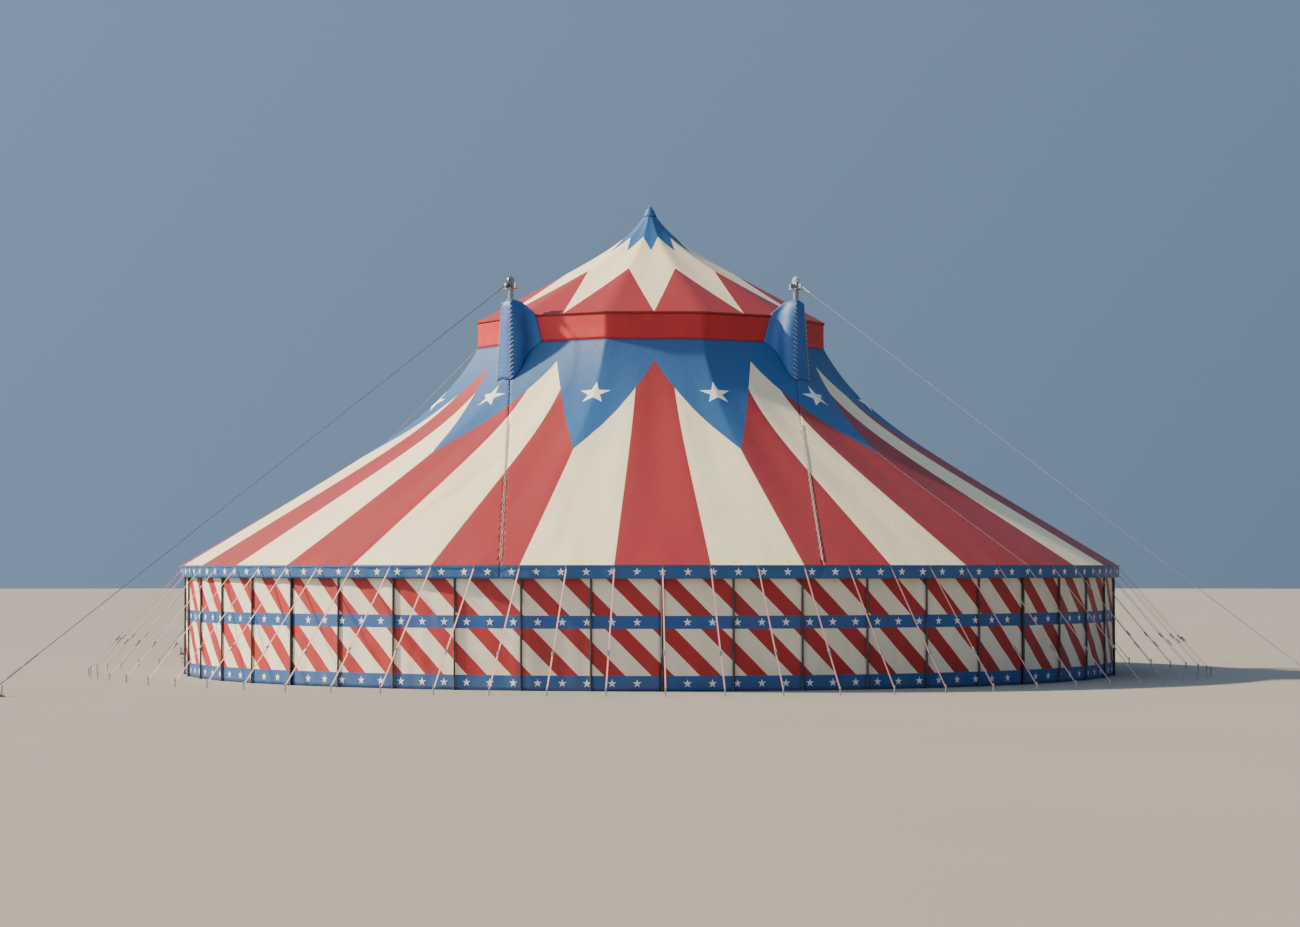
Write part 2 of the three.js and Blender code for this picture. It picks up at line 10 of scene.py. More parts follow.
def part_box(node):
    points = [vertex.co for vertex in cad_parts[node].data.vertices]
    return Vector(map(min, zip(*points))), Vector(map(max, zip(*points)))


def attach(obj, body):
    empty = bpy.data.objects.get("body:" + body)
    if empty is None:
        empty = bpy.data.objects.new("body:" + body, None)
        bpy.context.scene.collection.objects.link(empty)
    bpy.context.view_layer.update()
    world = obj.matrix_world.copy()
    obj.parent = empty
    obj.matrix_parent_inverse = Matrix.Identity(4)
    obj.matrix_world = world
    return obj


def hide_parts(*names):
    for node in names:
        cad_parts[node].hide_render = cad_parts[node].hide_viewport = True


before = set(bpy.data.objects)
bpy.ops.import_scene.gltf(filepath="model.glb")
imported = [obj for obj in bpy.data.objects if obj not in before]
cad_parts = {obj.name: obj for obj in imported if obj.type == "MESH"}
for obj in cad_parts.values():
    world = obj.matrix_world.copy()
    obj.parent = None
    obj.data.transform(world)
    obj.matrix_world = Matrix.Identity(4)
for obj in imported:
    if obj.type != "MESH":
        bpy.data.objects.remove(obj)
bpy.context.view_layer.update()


# Floor, light and view. The tent stands on a plain pale floor, in soft light from its left.
# The camera is level with the eave and a hundred metres in front, and the tent is turned a
# little to its left.
def linear(colour):
    """An sRGB hex colour as the linear colour that a socket takes."""
    channels = [int(colour[i : i + 2], 16) / 255 for i in (1, 3, 5)]
    return [c / 12.92 if c <= 0.04045 else ((c + 0.055) / 1.055) ** 2.4 for c in channels] + [1.0]


def feed(fed, inputs):
    """Sets a node's inputs to values, or links them to other nodes or their sockets."""
    for key, value in inputs.items():
        if isinstance(value, bpy.types.Node):
            value = value.outputs[0]
        if isinstance(value, bpy.types.NodeSocket):
            fed.id_data.links.new(value, fed.inputs[key])
        else:
            fed.inputs[key].default_value = value


def node(tree, kind, inputs=None, **settings):
    """Adds a node with its settings and its inputs."""
    added = tree.nodes.new(kind)
    for name, value in settings.items():
        setattr(added, name, value)
    feed(added, inputs or {})
    return added


def material(name, **values):
    """A material, what adds nodes to it, its place on the object, and its shader with plain
    values on the shader's own sockets."""
    made = bpy.data.materials.new(name)
    made.use_nodes = True
    add, shader = partial(node, made.node_tree), made.node_tree.nodes["Principled BSDF"]
    feed(shader, {key.replace("_", " ").title(): value for key, value in values.items()})
    return made, add, add("ShaderNodeTexCoord").outputs["Object"], shader


def smoothed(mesh, angle=40):
    """Shades a mesh smooth, apart from edges that turn by more than the angle."""
    mesh.polygons.foreach_set("use_smooth", np.ones(len(mesh.polygons), dtype=bool))
    mesh.set_sharp_from_angle(angle=math.radians(angle))


def show(name, mesh):
    piece = bpy.data.objects.new(name, mesh)
    bpy.context.collection.objects.link(piece)
    return piece


def towards(azimuth, elevation=0):
    """The direction from the tent's middle towards an azimuth and an elevation."""
    a, e = math.radians(azimuth), math.radians(elevation)
    return Vector((math.sin(a) * math.cos(e), -math.cos(a) * math.cos(e), math.sin(e)))


FLOOR_RADIUS = 400
FLOOR_SIDES = 96
FLOOR_HEIGHT = -0.002
CAMERA_AZIMUTH = -1.3
CAMERA_DISTANCE = 100.4
CAMERA_HEIGHT = 3.7
CAMERA_AIM = 7.4
CAMERA_FIELD = 26.0
SUN_AZIMUTH, SUN_ELEVATION = -98, 34
SUN_WIDTH = 3
SUN_STRENGTH = 9.5
GLOW_AZIMUTH, GLOW_ELEVATION = -60, 30
GLOW_WIDTH = 80
GLOW_STRENGTH = 1.3
SKY_LEAST, SKY_MOST = 0.08, 0.76
SKY_BRIGHT_ELEVATION = 40

# Pale screed: matt, with faint clouds where it dried unevenly.
screed, add, place, shader = material("pale_screed", roughness=0.9)
clouds = add("ShaderNodeTexNoise", {"Vector": place, "Scale": 0.08, "Detail": 4.0})
tint = add("ShaderNodeMix", {0: clouds, 6: linear("#928F89"), 7: linear("#9B9892")}, data_type="RGBA")
feed(shader, {"Base Color": tint.outputs[2]})

mesh = bpy.data.meshes.new("floor")
rim = [towards(-360 * k / FLOOR_SIDES) * FLOOR_RADIUS for k in range(FLOOR_SIDES)]
mesh.from_pydata([(x, y, FLOOR_HEIGHT) for x, y, _ in rim], [], [tuple(reversed(range(FLOOR_SIDES)))])
mesh.materials.append(screed)
show("floor", mesh)

# Clear sky: even blue, brightest high up on the sun's side and dimmest low down behind
world = bpy.data.worlds.new("clear_sky")
world.use_nodes = True
add = partial(node, world.node_tree)
way = add("ShaderNodeTexCoord").outputs["Generated"]
brightest = tuple(towards(SUN_AZIMUTH, SKY_BRIGHT_ELEVATION))
lean = add("ShaderNodeVectorMath", {0: way, 1: brightest}, operation="DOT_PRODUCT").outputs["Value"]
shades = {"From Min": -1.0, "To Min": SKY_LEAST, "To Max": SKY_MOST}
strength = add("ShaderNodeMapRange", {"Value": lean, **shades})
feed(world.node_tree.nodes["Background"], {"Color": linear("#A9C8EE"), "Strength": strength})
bpy.context.scene.world = world

# The sun, and the brighter part of the sky round it
for name, azimuth, elevation, width, strength, colour in (
    ("sun", SUN_AZIMUTH, SUN_ELEVATION, SUN_WIDTH, SUN_STRENGTH, "#FFE9C6"),
    ("sky_glow", GLOW_AZIMUTH, GLOW_ELEVATION, GLOW_WIDTH, GLOW_STRENGTH, "#F4F1EA"),
):
    light = bpy.data.lights.new(name, "SUN")
    light.energy = strength
    light.angle = math.radians(width)
    light.color = linear(colour)[:3]
    lamp = show(name, light)
    lamp.rotation_euler = towards(azimuth, elevation).to_track_quat("Z", "Y").to_euler()

camera = bpy.data.cameras.new("camera")
camera.angle = math.radians(CAMERA_FIELD)
camera.clip_end = 1000
stand = show("camera", camera)
stand.location = towards(CAMERA_AZIMUTH) * CAMERA_DISTANCE + Vector((0, 0, CAMERA_HEIGHT))
aim = Vector((0, 0, CAMERA_AIM)) - stand.location
stand.rotation_euler = aim.to_track_quat("-Z", "Y").to_euler()
bpy.context.scene.camera = stand


# King poles. Four round steel masts in sections bolted together at flanges, hot-dip
# galvanised, with climbing pegs. Each stands in the socket of a base plate that is pinned
# to the ground.
CORNERS = {"front_right": 45, "back_right": 135, "back_left": 225, "front_left": 315}
MAST_RADIAL = 4.85 * math.sqrt(2)
MAST_RADIUS = 0.105
MAST_FOOT = 0.0203
MAST_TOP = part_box("king_pole_front_right")[1][2]
MAST_SIDES = 40
COUPLINGS = (3.25, 6.5, 9.75)
FLANGE_RADIUS = 0.17
FLANGE = 0.018
FLANGE_GAP = 0.002
FLANGE_BOLTS = 8
PEG_REACH = 0.235
PEG_TURN_UP = 0.03
PEG_RADIUS = 0.009
PEG_STEP = 0.4
PEGS_FROM = 2.0
PEGS = 20
PEG_CLEAR = 0.06
BASE_PLATE = 0.02
PIN_PLACE = 0.37


def geometry_tree(name, **inputs):
    """A geometry tree with named inputs, what adds nodes to it, and what goes into it."""
    tree = bpy.data.node_groups.new(name, "GeometryNodeTree")
    tree.interface.new_socket("Geometry", in_out="OUTPUT", socket_type="NodeSocketGeometry")
    for label, kind in {"Geometry": "Geometry", **inputs}.items():
        tree.interface.new_socket(label, in_out="INPUT", socket_type="NodeSocket" + kind)
    add = partial(node, tree)
    return tree, add, add("NodeGroupInput").outputs


def close_tree(add, shape, finish):
    """Ends a geometry tree in real geometry that wears its finish."""
    real = add("GeometryNodeRealizeInstances", {"Geometry": shape})
    worn = add("GeometryNodeSetMaterial", {"Geometry": real, "Material": finish})
    add("NodeGroupOutput", {0: worn})


def grow(name, mesh, tree, **values):
    """Runs a geometry tree on a mesh and keeps the result as a plain mesh."""
    source = show(name + "_source", mesh)
    modifier = source.modifiers.new("grow", "NODES")
    modifier.node_group = tree
    for item in tree.interface.items_tree:
        if item.in_out == "INPUT" and item.name in values:
            modifier[item.identifier] = values[item.name]
    bpy.context.view_layer.update()
    graph = bpy.context.evaluated_depsgraph_get()
    made = bpy.data.meshes.new_from_object(source.evaluated_get(graph), depsgraph=graph)
    source.modifiers.remove(modifier)
    bpy.data.objects.remove(source)
    made.name = name
    smoothed(made)
    return show(name, made)


# Round tube or rod along every edge of a mesh
tube_tree, add, given = geometry_tree("tubes", Radius="Float", Sides="Int", Finish="Material")
line = add("GeometryNodeMeshToCurve", {0: given["Geometry"]})
section = {"Resolution": given["Sides"], "Radius": given["Radius"]}
circle = add("GeometryNodeCurvePrimitiveCircle", section)
tube = add("GeometryNodeCurveToMesh", {"Curve": line, "Profile Curve": circle, "Fill Caps": True})
close_tree(add, tube, given["Finish"])

# The same part at every vertex of a mesh, turned by the vertex's own angles
spread_tree, add, given = geometry_tree("spread", Part="Object", Finish="Material")
part = add("GeometryNodeObjectInfo", {0: given["Part"]}).outputs["Geometry"]
turn = add("GeometryNodeInputNamedAttribute", {"Name": "turn"}, data_type="FLOAT_VECTOR")
copying = {"Points": given["Geometry"], "Instance": part, "Rotation": turn}
close_tree(add, add("GeometryNodeInstanceOnPoints", copying), given["Finish"])


def tubes(name, lines, radius, finish, sides):
    """Tubes along lines of points."""
    mesh = bpy.data.meshes.new(name)
    points = [tuple(point) for line in lines for point in line]
    starts = np.cumsum([0] + [len(line) for line in lines])
    edges = [(s + i, s + i + 1) for s, line in zip(starts, lines) for i in range(len(line) - 1)]
    mesh.from_pydata(points, edges, [])
    return grow(name, mesh, tube_tree, Radius=radius, Sides=sides, Finish=finish)


def spread(name, shape, places, finish):
    """Copies of a shape, one for each (point, angle about Z)."""
    mesh = bpy.data.meshes.new(name)
    mesh.from_pydata([tuple(point) for point, _ in places], [], [])
    turns = mesh.attributes.new("turn", "FLOAT_VECTOR", "POINT")
    turns.data.foreach_set("vector", [value for _, angle in places for value in (0, 0, angle)])
    part = bpy.data.objects.new(name + "_part", shape)
    made = grow(name, mesh, spread_tree, Part=part, Finish=finish)
    bpy.data.objects.remove(part)
    return made


def hoop(inner, outer, low, high):
    """The profile of a disc or ring between two radii and two heights."""
    return [(inner, low), (outer, low), (outer, high), (inner, high)]


def turned(shape, profile, sides, place=Matrix()):
    """Adds to a shape a profile of (radius, height) points, turned about Z and closed."""
    rings = []
    for radius, height in profile:
        angles = [2 * math.pi * k / sides for k in range(sides if radius > 0 else 1)]
        points = [place @ Vector((radius * math.cos(a), radius * math.sin(a), height)) for a in angles]
        rings.append([shape.verts.new(point) for point in points])
    for low, high in zip(rings, rings[1:] + rings[:1]):
        for k in range(sides):
            corners = [low[k % len(low)], low[(k + 1) % len(low)]]
            corners += [high[(k + 1) % len(high)], high[k % len(high)]]
            corners = list(dict.fromkeys(corners))
            if len(corners) > 2:
                shape.faces.new(corners)
    return shape


def plate(shape, low, high, edge, place=Matrix()):
    """Adds to a shape a plate between two corners, with its edges broken."""
    middle = [(a + b) / 2 for a, b in zip(low, high)]
    scale = Matrix.Diagonal((*[b - a for a, b in zip(low, high)], 1))
    made = bmesh.ops.create_cube(shape, matrix=place @ Matrix.Translation(middle) @ scale)
    edges = {e for v in made["verts"] for e in v.link_edges}
    bmesh.ops.bevel(shape, geom=list(edges), offset=edge, segments=1, affect="EDGES")


def ended(shape, name="shape"):
    """The finished mesh of a shape, with its faces pointing outwards."""
    bmesh.ops.recalc_face_normals(shape, faces=shape.faces)
    mesh = bpy.data.meshes.new(name)
    shape.to_mesh(mesh)
    shape.free()
    return mesh


def dressed(name, mesh, finish, angle=40):
    """A piece of one finish, smooth apart from edges that turn by more than the angle."""
    mesh.materials.append(finish)
    smoothed(mesh, angle)
    return show(name, mesh)


def fix(piece, slot, *nodes):
    """Fixes a piece to the tent, in place of any nodes that it stands for. The slot is not used."""
    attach(piece, "root")
    for name in nodes:
        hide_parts(name)
    return piece


def refinish(name, finish):
    """Gives a node of the frame its finish."""
    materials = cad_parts[name].data.materials
    materials.clear()
    materials.append(finish)


def facing(azimuth, point=(0, 0, 0), lie=Matrix()):
    """The matrix from outwards, sideways and up at an azimuth to the tent's own frame, for a
    part that first lies turned and is then moved to a point."""
    return Matrix.Rotation(math.radians(azimuth - 90), 4, "Z") @ Matrix.Translation(point) @ lie


def at_corner(azimuth, point):
    return facing(azimuth) @ Vector(point)


def steel(name, light, dark, roughness, spot):
    """Steel whose surface is in patches of two tones, spot metres across."""
    made, add, place, shader = material(name, metallic=1.0)
    patches = add("ShaderNodeTexVoronoi", {"Vector": place, "Scale": 1 / spot})
    weather = add("ShaderNodeTexNoise", {"Vector": place, "Scale": 1.5, "Detail": 5.0})
    share = add("ShaderNodeMath", {0: patches, 1: weather}, operation="MULTIPLY")
    tint = add("ShaderNodeMix", {0: share, 6: linear(light), 7: linear(dark)}, data_type="RGBA")
    limits = {"To Min": roughness - 0.08, "To Max": roughness + 0.12}
    rough = add("ShaderNodeMapRange", {"Value": share, **limits})
    feed(shader, {"Base Color": tint.outputs[2], "Roughness": rough})
    return made


def painted(name, colour, worn, roughness=0.45, coat=0.2):
    """Gloss paint on steel, with dust in soft clouds and the undercoat at small knocks."""
    made, add, place, shader = material(name, coat_weight=coat)
    dust = add("ShaderNodeTexNoise", {"Vector": place, "Scale": 3.0, "Detail": 6.0})
    knocks = add("ShaderNodeTexNoise", {"Vector": place, "Scale": 22.0, "Detail": 3.0})
    chips = add("ShaderNodeMapRange", {"Value": knocks, "From Min": 0.66, "From Max": 0.7})
    clouds = add("ShaderNodeMapRange", {"Value": dust, "From Min": 0.4, "To Max": 0.5})
    tones = {0: clouds, 6: linear(colour), 7: linear("#8F8A80")}
    dusty = add("ShaderNodeMix", tones, data_type="RGBA").outputs[2]
    tint = add("ShaderNodeMix", {0: chips, 6: dusty, 7: linear(worn)}, data_type="RGBA")
    limits = {"To Min": roughness - 0.1, "To Max": roughness + 0.25}
    rough = add("ShaderNodeMapRange", {"Value": dust, **limits})
    feed(shader, {"Base Color": tint.outputs[2], "Roughness": rough})
    return made


# Hot-dip galvanised steel: pale grey zinc in dull flakes. Real flakes are about 20 mm
# across; they are drawn at 60 mm to show at all.
galvanised = steel("galvanised_steel", "#B9BDC0", "#7F858A", 0.42, 0.06)
# Black gloss paint on steel, dusty, with brown primer where it is knocked.
black_paint = painted("black_painted_steel", "#2B2E33", "#6A4B3A")

bolt_profile = [(0, 0), (0.022, 0), (0.022, 0.016), (0.012, 0.018), (0.012, 0.03), (0, 0.03)]
bolt_shape = ended(turned(bmesh.new(), bolt_profile, 6), "bolt")
pin_profile = [(0, 0), (0.018, 0), (0.018, 0.05), (0.034, 0.05), (0.034, 0.075), (0.02, 0.085), (0, 0.085)]
pin_shape = ended(turned(bmesh.new(), pin_profile, 10), "pin")

for corner, azimuth in CORNERS.items():
    mast = turned(bmesh.new(), hoop(0, MAST_RADIUS, MAST_FOOT, MAST_TOP), MAST_SIDES)
    for height in COUPLINGS:
        for top in (height, height + FLANGE + FLANGE_GAP):
            turned(mast, hoop(MAST_RADIUS, FLANGE_RADIUS, top - FLANGE, top), MAST_SIDES)
    middle = at_corner(azimuth, (MAST_RADIAL, 0, 0))
    mast.transform(Matrix.Translation(middle))
    fix(dressed(f"mast_tube_{corner}", ended(mast), galvanised), "galvanised_steel", f"king_pole_{corner}")

    pegs = []
    for k in range(PEGS):
        side = 1 if k % 2 else -1
        height = PEGS_FROM + k * PEG_STEP
        peg = [(side * MAST_RADIUS * 0.9, height), (side * PEG_REACH, height)]
        peg.append((side * PEG_REACH, height + PEG_TURN_UP))
        if min(abs(height - coupling) for coupling in COUPLINGS) > PEG_CLEAR:
            pegs.append([at_corner(azimuth, (MAST_RADIAL, v, z)) for v, z in peg])
    fix(tubes(f"climbing_pegs_{corner}", pegs, PEG_RADIUS, galvanised, 8), "galvanised_steel")

    places = []
    for height in COUPLINGS:
        for k in range(FLANGE_BOLTS):
            a = 2 * math.pi * (k + 0.5) / FLANGE_BOLTS
            reach = (MAST_RADIUS + FLANGE_RADIUS) / 2
            spot = Vector((reach * math.cos(a), reach * math.sin(a), height + FLANGE))
            places.append((middle + spot, a))
    fix(spread(f"flange_bolts_{corner}", bolt_shape, places, galvanised), "galvanised_steel")

    refinish(f"mast_base_{corner}", black_paint)
    ends = [(u * PIN_PLACE, v * PIN_PLACE) for u in (-1, 1) for v in (-1, 1)]
    places = [(at_corner(azimuth, (MAST_RADIAL + u, v, BASE_PLATE)), 0) for u, v in ends]
    fix(spread(f"ground_pins_{corner}", pin_shape, places, galvanised), "galvanised_steel")


# Ring truss and cupola frame. A flat twelve-sided ring of square steel tube that is hoisted
# up the four masts on sliding collars, and the rafters and centre post that it carries.
for name in ("cupola_ring", "cupola_frame"):
    refinish(name, galvanised)


# Canopy. Gores of PVC-coated polyester, welded edge to edge in faded red and cream under a
# blue collar with a white star on each point, and laced together along two lines that run
# past the masts. It hangs from the ring and is pulled out by the straps at its eave.
RING_RADIUS = 6.3
EAVE_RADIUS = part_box("canopy_right")[1][0]
EAVE_HEIGHT = 3.8
CANOPY_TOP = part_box("canopy_front")[1][2]
VALANCE_DROP = 0.41
FLARE_RISE = 0.19
FLARE_RUN = 0.12
RING_STEP = 30
GORE_STEP = 10
STRAP_STEP = 5
CLOTH_DROP = 0.032
CLOTH_INSET = 0.004
CLOTH = 0.004
WELDED = 1e-5
GORE_SAG = 0.05
EAVE_SCALLOP = 0.035
VALANCE_FLUTTER = 0.012
COLLAR_HIGH = 6.75
COLLAR_LOW = 10.4
SEAM_OFFSET = 4.85
SEAM_GAP = 0.012
NOTCH_HALF = 0.14
NOTCH_NEAR = 0.6
EDGE_STEP = 2.5
COLUMN_STEP = 0.5
COLLAR_STAR_RADIUS = 7.8
COLLAR_STAR = 0.55
COLLAR_STARS = 12
BAND_STAR = 0.135
BAND_STARS = 136
STAR_LIFT = 0.007
MIDDLE_WIDTH, SIDE_WIDTH, CANOPY_LENGTH = 9.7, 16.6, 14.8


def from_middle(azimuth, step=RING_STEP, corner=RING_STEP / 2):
    """Degrees from the middle of the side of a ring of straight sides that an azimuth is on."""
    return abs((azimuth - corner) % step - step / 2)


def flat_sided(azimuth, step=RING_STEP, corner=RING_STEP / 2):
    """How far out a ring of straight sides lies at an azimuth, as a share of its corners."""
    return math.cos(math.radians(step / 2)) / np.cos(np.radians(from_middle(azimuth, step, corner)))


def around(azimuth, reach, height):
    """Points from their azimuths, their distance from the middle and their height."""
    a = np.radians(azimuth)
    return np.stack([reach * np.sin(a), -reach * np.cos(a), height], axis=-1)


def canopy_run(radius):
    return np.clip((radius - RING_RADIUS) / (EAVE_RADIUS - RING_RADIUS), 0, 1)


def canopy_share(azimuth, run):
    """How much of its radius the cloth reaches, where the ring's sides pull it in."""
    return 1 - (1 - run) ** 2 * (1 - flat_sided(azimuth))


def canopy_level(azimuth, run):
    """The cloth's height, between the ring and the eave and between its seams."""
    flare = FLARE_RISE * np.exp(-run / FLARE_RUN)
    rise = (CANOPY_TOP - EAVE_HEIGHT) * ((1 - FLARE_RISE) * (1 - run) + flare)
    sag = GORE_SAG * np.sin(math.pi * run) * (1 + np.cos(2 * math.pi * azimuth / GORE_STEP)) / 2
    return EAVE_HEIGHT + rise - CLOTH_DROP - sag


def canopy_height(x, y):
    """Height of the canopy's cloth over a point."""
    azimuth = np.degrees(np.arctan2(x, -y))
    reach = np.hypot(x, y)
    radius = reach
    for _ in range(6):
        radius = reach / canopy_share(azimuth, canopy_run(radius))
    return float(canopy_level(azimuth, canopy_run(radius)))


def on_canopy(gore, radius):
    """The cloth's place from its gore, in gores from the front, and its radius; what is past
    the eave's radius hangs down as the valance."""
    azimuth = gore * GORE_STEP
    run = canopy_run(radius)
    hanging = np.maximum(radius - EAVE_RADIUS, 0)
    pulled = (1 - np.cos(2 * math.pi * azimuth / STRAP_STEP)) / 2
    flutter = VALANCE_FLUTTER * hanging / VALANCE_DROP * (1 + np.sin(azimuth * 2.9 + 0.7))
    reach = np.minimum(radius, EAVE_RADIUS) * canopy_share(azimuth, run)
    reach = reach - EAVE_SCALLOP * pulled * run**10 - flutter - CLOTH_INSET
    return around(azimuth, reach, canopy_level(azimuth, run) - hanging)


def straight(azimuth, start, end):
    """The reach at an azimuth of the straight line between two (azimuth, reach) points."""
    turn = lambda angle: math.sin(math.radians(angle))
    (first, near), (last, far) = start, end
    return near * far * turn(last - first) / (near * turn(azimuth - first) + far * turn(last - azimuth))


def collar_edge(azimuth):
    """The collar's edge: high in the middle of each side of the ring, a point at its corners."""
    return straight(from_middle(azimuth), (0, COLLAR_HIGH), (RING_STEP / 2, COLLAR_LOW))


def by_steps(edge, azimuth):
    """The radius of an edge at an azimuth, as it is cut in straight steps."""
    start = math.floor(azimuth / EDGE_STEP) * EDGE_STEP
    share = (azimuth - start) / EDGE_STEP
    return (1 - share) * edge(start) + share * edge(start + EDGE_STEP)


def canopy_panel(gore, radius):
    """Which finish a spot of the canopy has: 0 red, 1 cream, 2 blue."""
    azimuth = gore * GORE_STEP
    if radius < by_steps(collar_edge, azimuth) or radius > EAVE_RADIUS:
        return 2
    on_right = 45 < azimuth % 360 < 135
    return (round(gore) + on_right) % 2


def split(cloth, chosen, point, across, **settings):
    """Cuts through the faces whose middle is chosen."""
    faces = [face for face in cloth.faces if chosen(face.calc_center_median())]
    parts = {part for face in faces for part in (face, *face.edges, *face.verts)}
    bmesh.ops.bisect_plane(cloth, geom=list(parts), plane_co=point, plane_no=across, **settings)


def cut_out(cloth, low, high, line, direction):
    """Cuts a flat cloth along a line, between two corners."""
    chosen = lambda middle: low[0] < middle.x < high[0] and low[1] < middle.y < high[1]
    split(cloth, chosen, (*line, 0), (direction[1], -direction[0], 0), dist=WELDED)


def notch(cloth, x, y):
    """Leaves room for a mast at a sheet's edge."""
    near = lambda middle: (middle.xy - Vector((x, y))).length < NOTCH_NEAR
    for axis, place in ((Vector((1, 0, 0)), x), (Vector((0, 1, 0)), y)):
        for side in (-1, 1):
            split(cloth, near, axis * (place + side * NOTCH_HALF), axis)
    middles = [(face, face.calc_center_median()) for face in cloth.faces]
    inside = lambda middle: abs(middle.x - x) < NOTCH_HALF and abs(middle.y - y) < NOTCH_HALF
    gone = [face for face, middle in middles if inside(middle)]
    bmesh.ops.delete(cloth, geom=gone, context="FACES")


def hang(
    name, across, along, place, finishes, panel=lambda u, v: 0,
    cuts=(), trims=(), notches=(), inside=(0, 0, 5),
):
    """A sheet of cloth: laid out flat on a grid, cut along its panels' edges, hung in its
    place, and trimmed there. Its own map keeps where it lay when it was flat."""
    cloth = bmesh.new()
    grid = [[cloth.verts.new((u, v, 0)) for v in along] for u in across]
    for left, right in zip(grid, grid[1:]):
        for k in range(len(along) - 1):
            cloth.faces.new((left[k], right[k], right[k + 1], left[k + 1]))
    for cut in cuts:
        cut_out(cloth, *cut)
    flat_map = cloth.loops.layers.uv.new("flat")
    for face in cloth.faces:
        middle = face.calc_center_median()
        face.material_index = panel(middle.x, middle.y)
        for loop in face.loops:
            loop[flat_map].uv = loop.vert.co.xy
    flat = np.array([vert.co for vert in cloth.verts])
    for vert, point in zip(cloth.verts, place(flat[:, 0], flat[:, 1])):
        vert.co = point
    bmesh.ops.remove_doubles(cloth, verts=cloth.verts, dist=WELDED)
    cloth.normal_update()
    middle = Vector(inside)
    if sum((face.calc_center_median() - middle).dot(face.normal) for face in cloth.faces) < 0:
        bmesh.ops.reverse_faces(cloth, faces=cloth.faces)
    for point, outwards in trims:
        parts = cloth.verts[:] + cloth.edges[:] + cloth.faces[:]
        bmesh.ops.bisect_plane(cloth, geom=parts, plane_co=point, plane_no=outwards, clear_outer=True)
    for x, y in notches:
        notch(cloth, x, y)
    mesh = bpy.data.meshes.new(name)
    cloth.to_mesh(mesh)
    cloth.free()
    for finish in finishes:
        mesh.materials.append(finish)
    smoothed(mesh, 50)
    piece = show(name, mesh)
    thick = piece.modifiers.new("cloth", "SOLIDIFY")
    thick.thickness = CLOTH
    thick.offset = -1
    return piece


def tarpaulin(name, colour, soil, streak, seams=False, splash=0.0):
    """PVC-coated cloth of one colour. streak is how many rain streaks there are to each unit
    of the cloth's own map, across and along it."""
    made, add, place, shader = material(name, coat_weight=0.05, coat_roughness=0.5)
    flat = add("ShaderNodeUVMap", uv_map="flat")
    drawn = add("ShaderNodeMapping", {"Vector": flat, "Scale": (*streak, 1.0)})
    streaks = add("ShaderNodeTexNoise", {"Vector": drawn, "Scale": 1.0, "Detail": 5.0})
    clouds = add("ShaderNodeTexNoise", {"Vector": place, "Scale": 0.35, "Detail": 6.0})
    aged = add("ShaderNodeMath", {0: streaks, 1: clouds}, operation="MULTIPLY")
    limits = {"From Min": 0.16, "From Max": 0.45, "To Max": 0.34}
    share = add("ShaderNodeMapRange", {"Value": aged, **limits})
    across, down, _ = add("ShaderNodeSeparateXYZ", {0: flat}).outputs
    if seams:
        # A weld is two layers thick, 50 mm wide, and holds a little more dirt.
        across = add("ShaderNodeMath", {0: across, 1: 0.5}, operation="ADD")
        beside = add("ShaderNodeMath", {0: across, 1: 1.0, 2: 0.0}, operation="WRAP")
        gap = add("ShaderNodeMath", {0: beside, 1: 0.5}, operation="PINGPONG")
        limits = {"From Min": 0.008, "From Max": 0.014, "To Min": 0.35, "To Max": 0.0}
        weld = add("ShaderNodeMapRange", {"Value": gap, **limits})
        share = add("ShaderNodeMath", {0: share, 1: weld}, operation="ADD")
    if splash:
        limits = {"From Max": splash, "To Min": 0.4, "To Max": 0.0}
        low = add("ShaderNodeMapRange", {"Value": down, **limits})
        patchy = add("ShaderNodeMath", {0: low, 1: streaks}, operation="MULTIPLY")
        share = add("ShaderNodeMath", {0: share, 1: patchy}, operation="ADD")
    tint = add("ShaderNodeMix", {0: share, 6: linear(colour), 7: linear(soil)}, data_type="RGBA")
    rough = add("ShaderNodeMapRange", {"Value": clouds, "To Min": 0.38, "To Max": 0.7})
    creasing = {"Vector": place, "Scale": 1.6, "Detail": 8.0, "Roughness": 0.6}
    creases = add("ShaderNodeTexNoise", creasing)
    bump = add("ShaderNodeBump", {"Height": creases, "Strength": 0.35, "Distance": 0.05})
    feed(shader, {"Base Color": tint.outputs[2], "Roughness": rough, "Normal": bump})
    return made


# PVC-coated polyester: satin, faintly creased, faded by the sun and streaked by rain. The
# streaks are about 0.4 m apart at the eave, and run up the slope.
RED_SOIL, CREAM_SOIL, BLUE_SOIL = "#7E3431", "#CBBB90", "#2C4A70"
canopy_red = tarpaulin("faded_red_tarpaulin", "#992A2E", RED_SOIL, (7.0, 0.3), seams=True)
canopy_cream = tarpaulin("cream_tarpaulin", "#FDF0CB", CREAM_SOIL, (7.0, 0.3), seams=True)
canopy_blue = tarpaulin("blue_tarpaulin", "#296099", BLUE_SOIL, (7.0, 0.3))
canopy_finishes = (canopy_red, canopy_cream, canopy_blue)
# White foil welded on as appliqué: smooth and a little glossy.
white_foil = tarpaulin("white_foil", "#F4F2EC", "#C9C6BC", (2.0, 0.5))

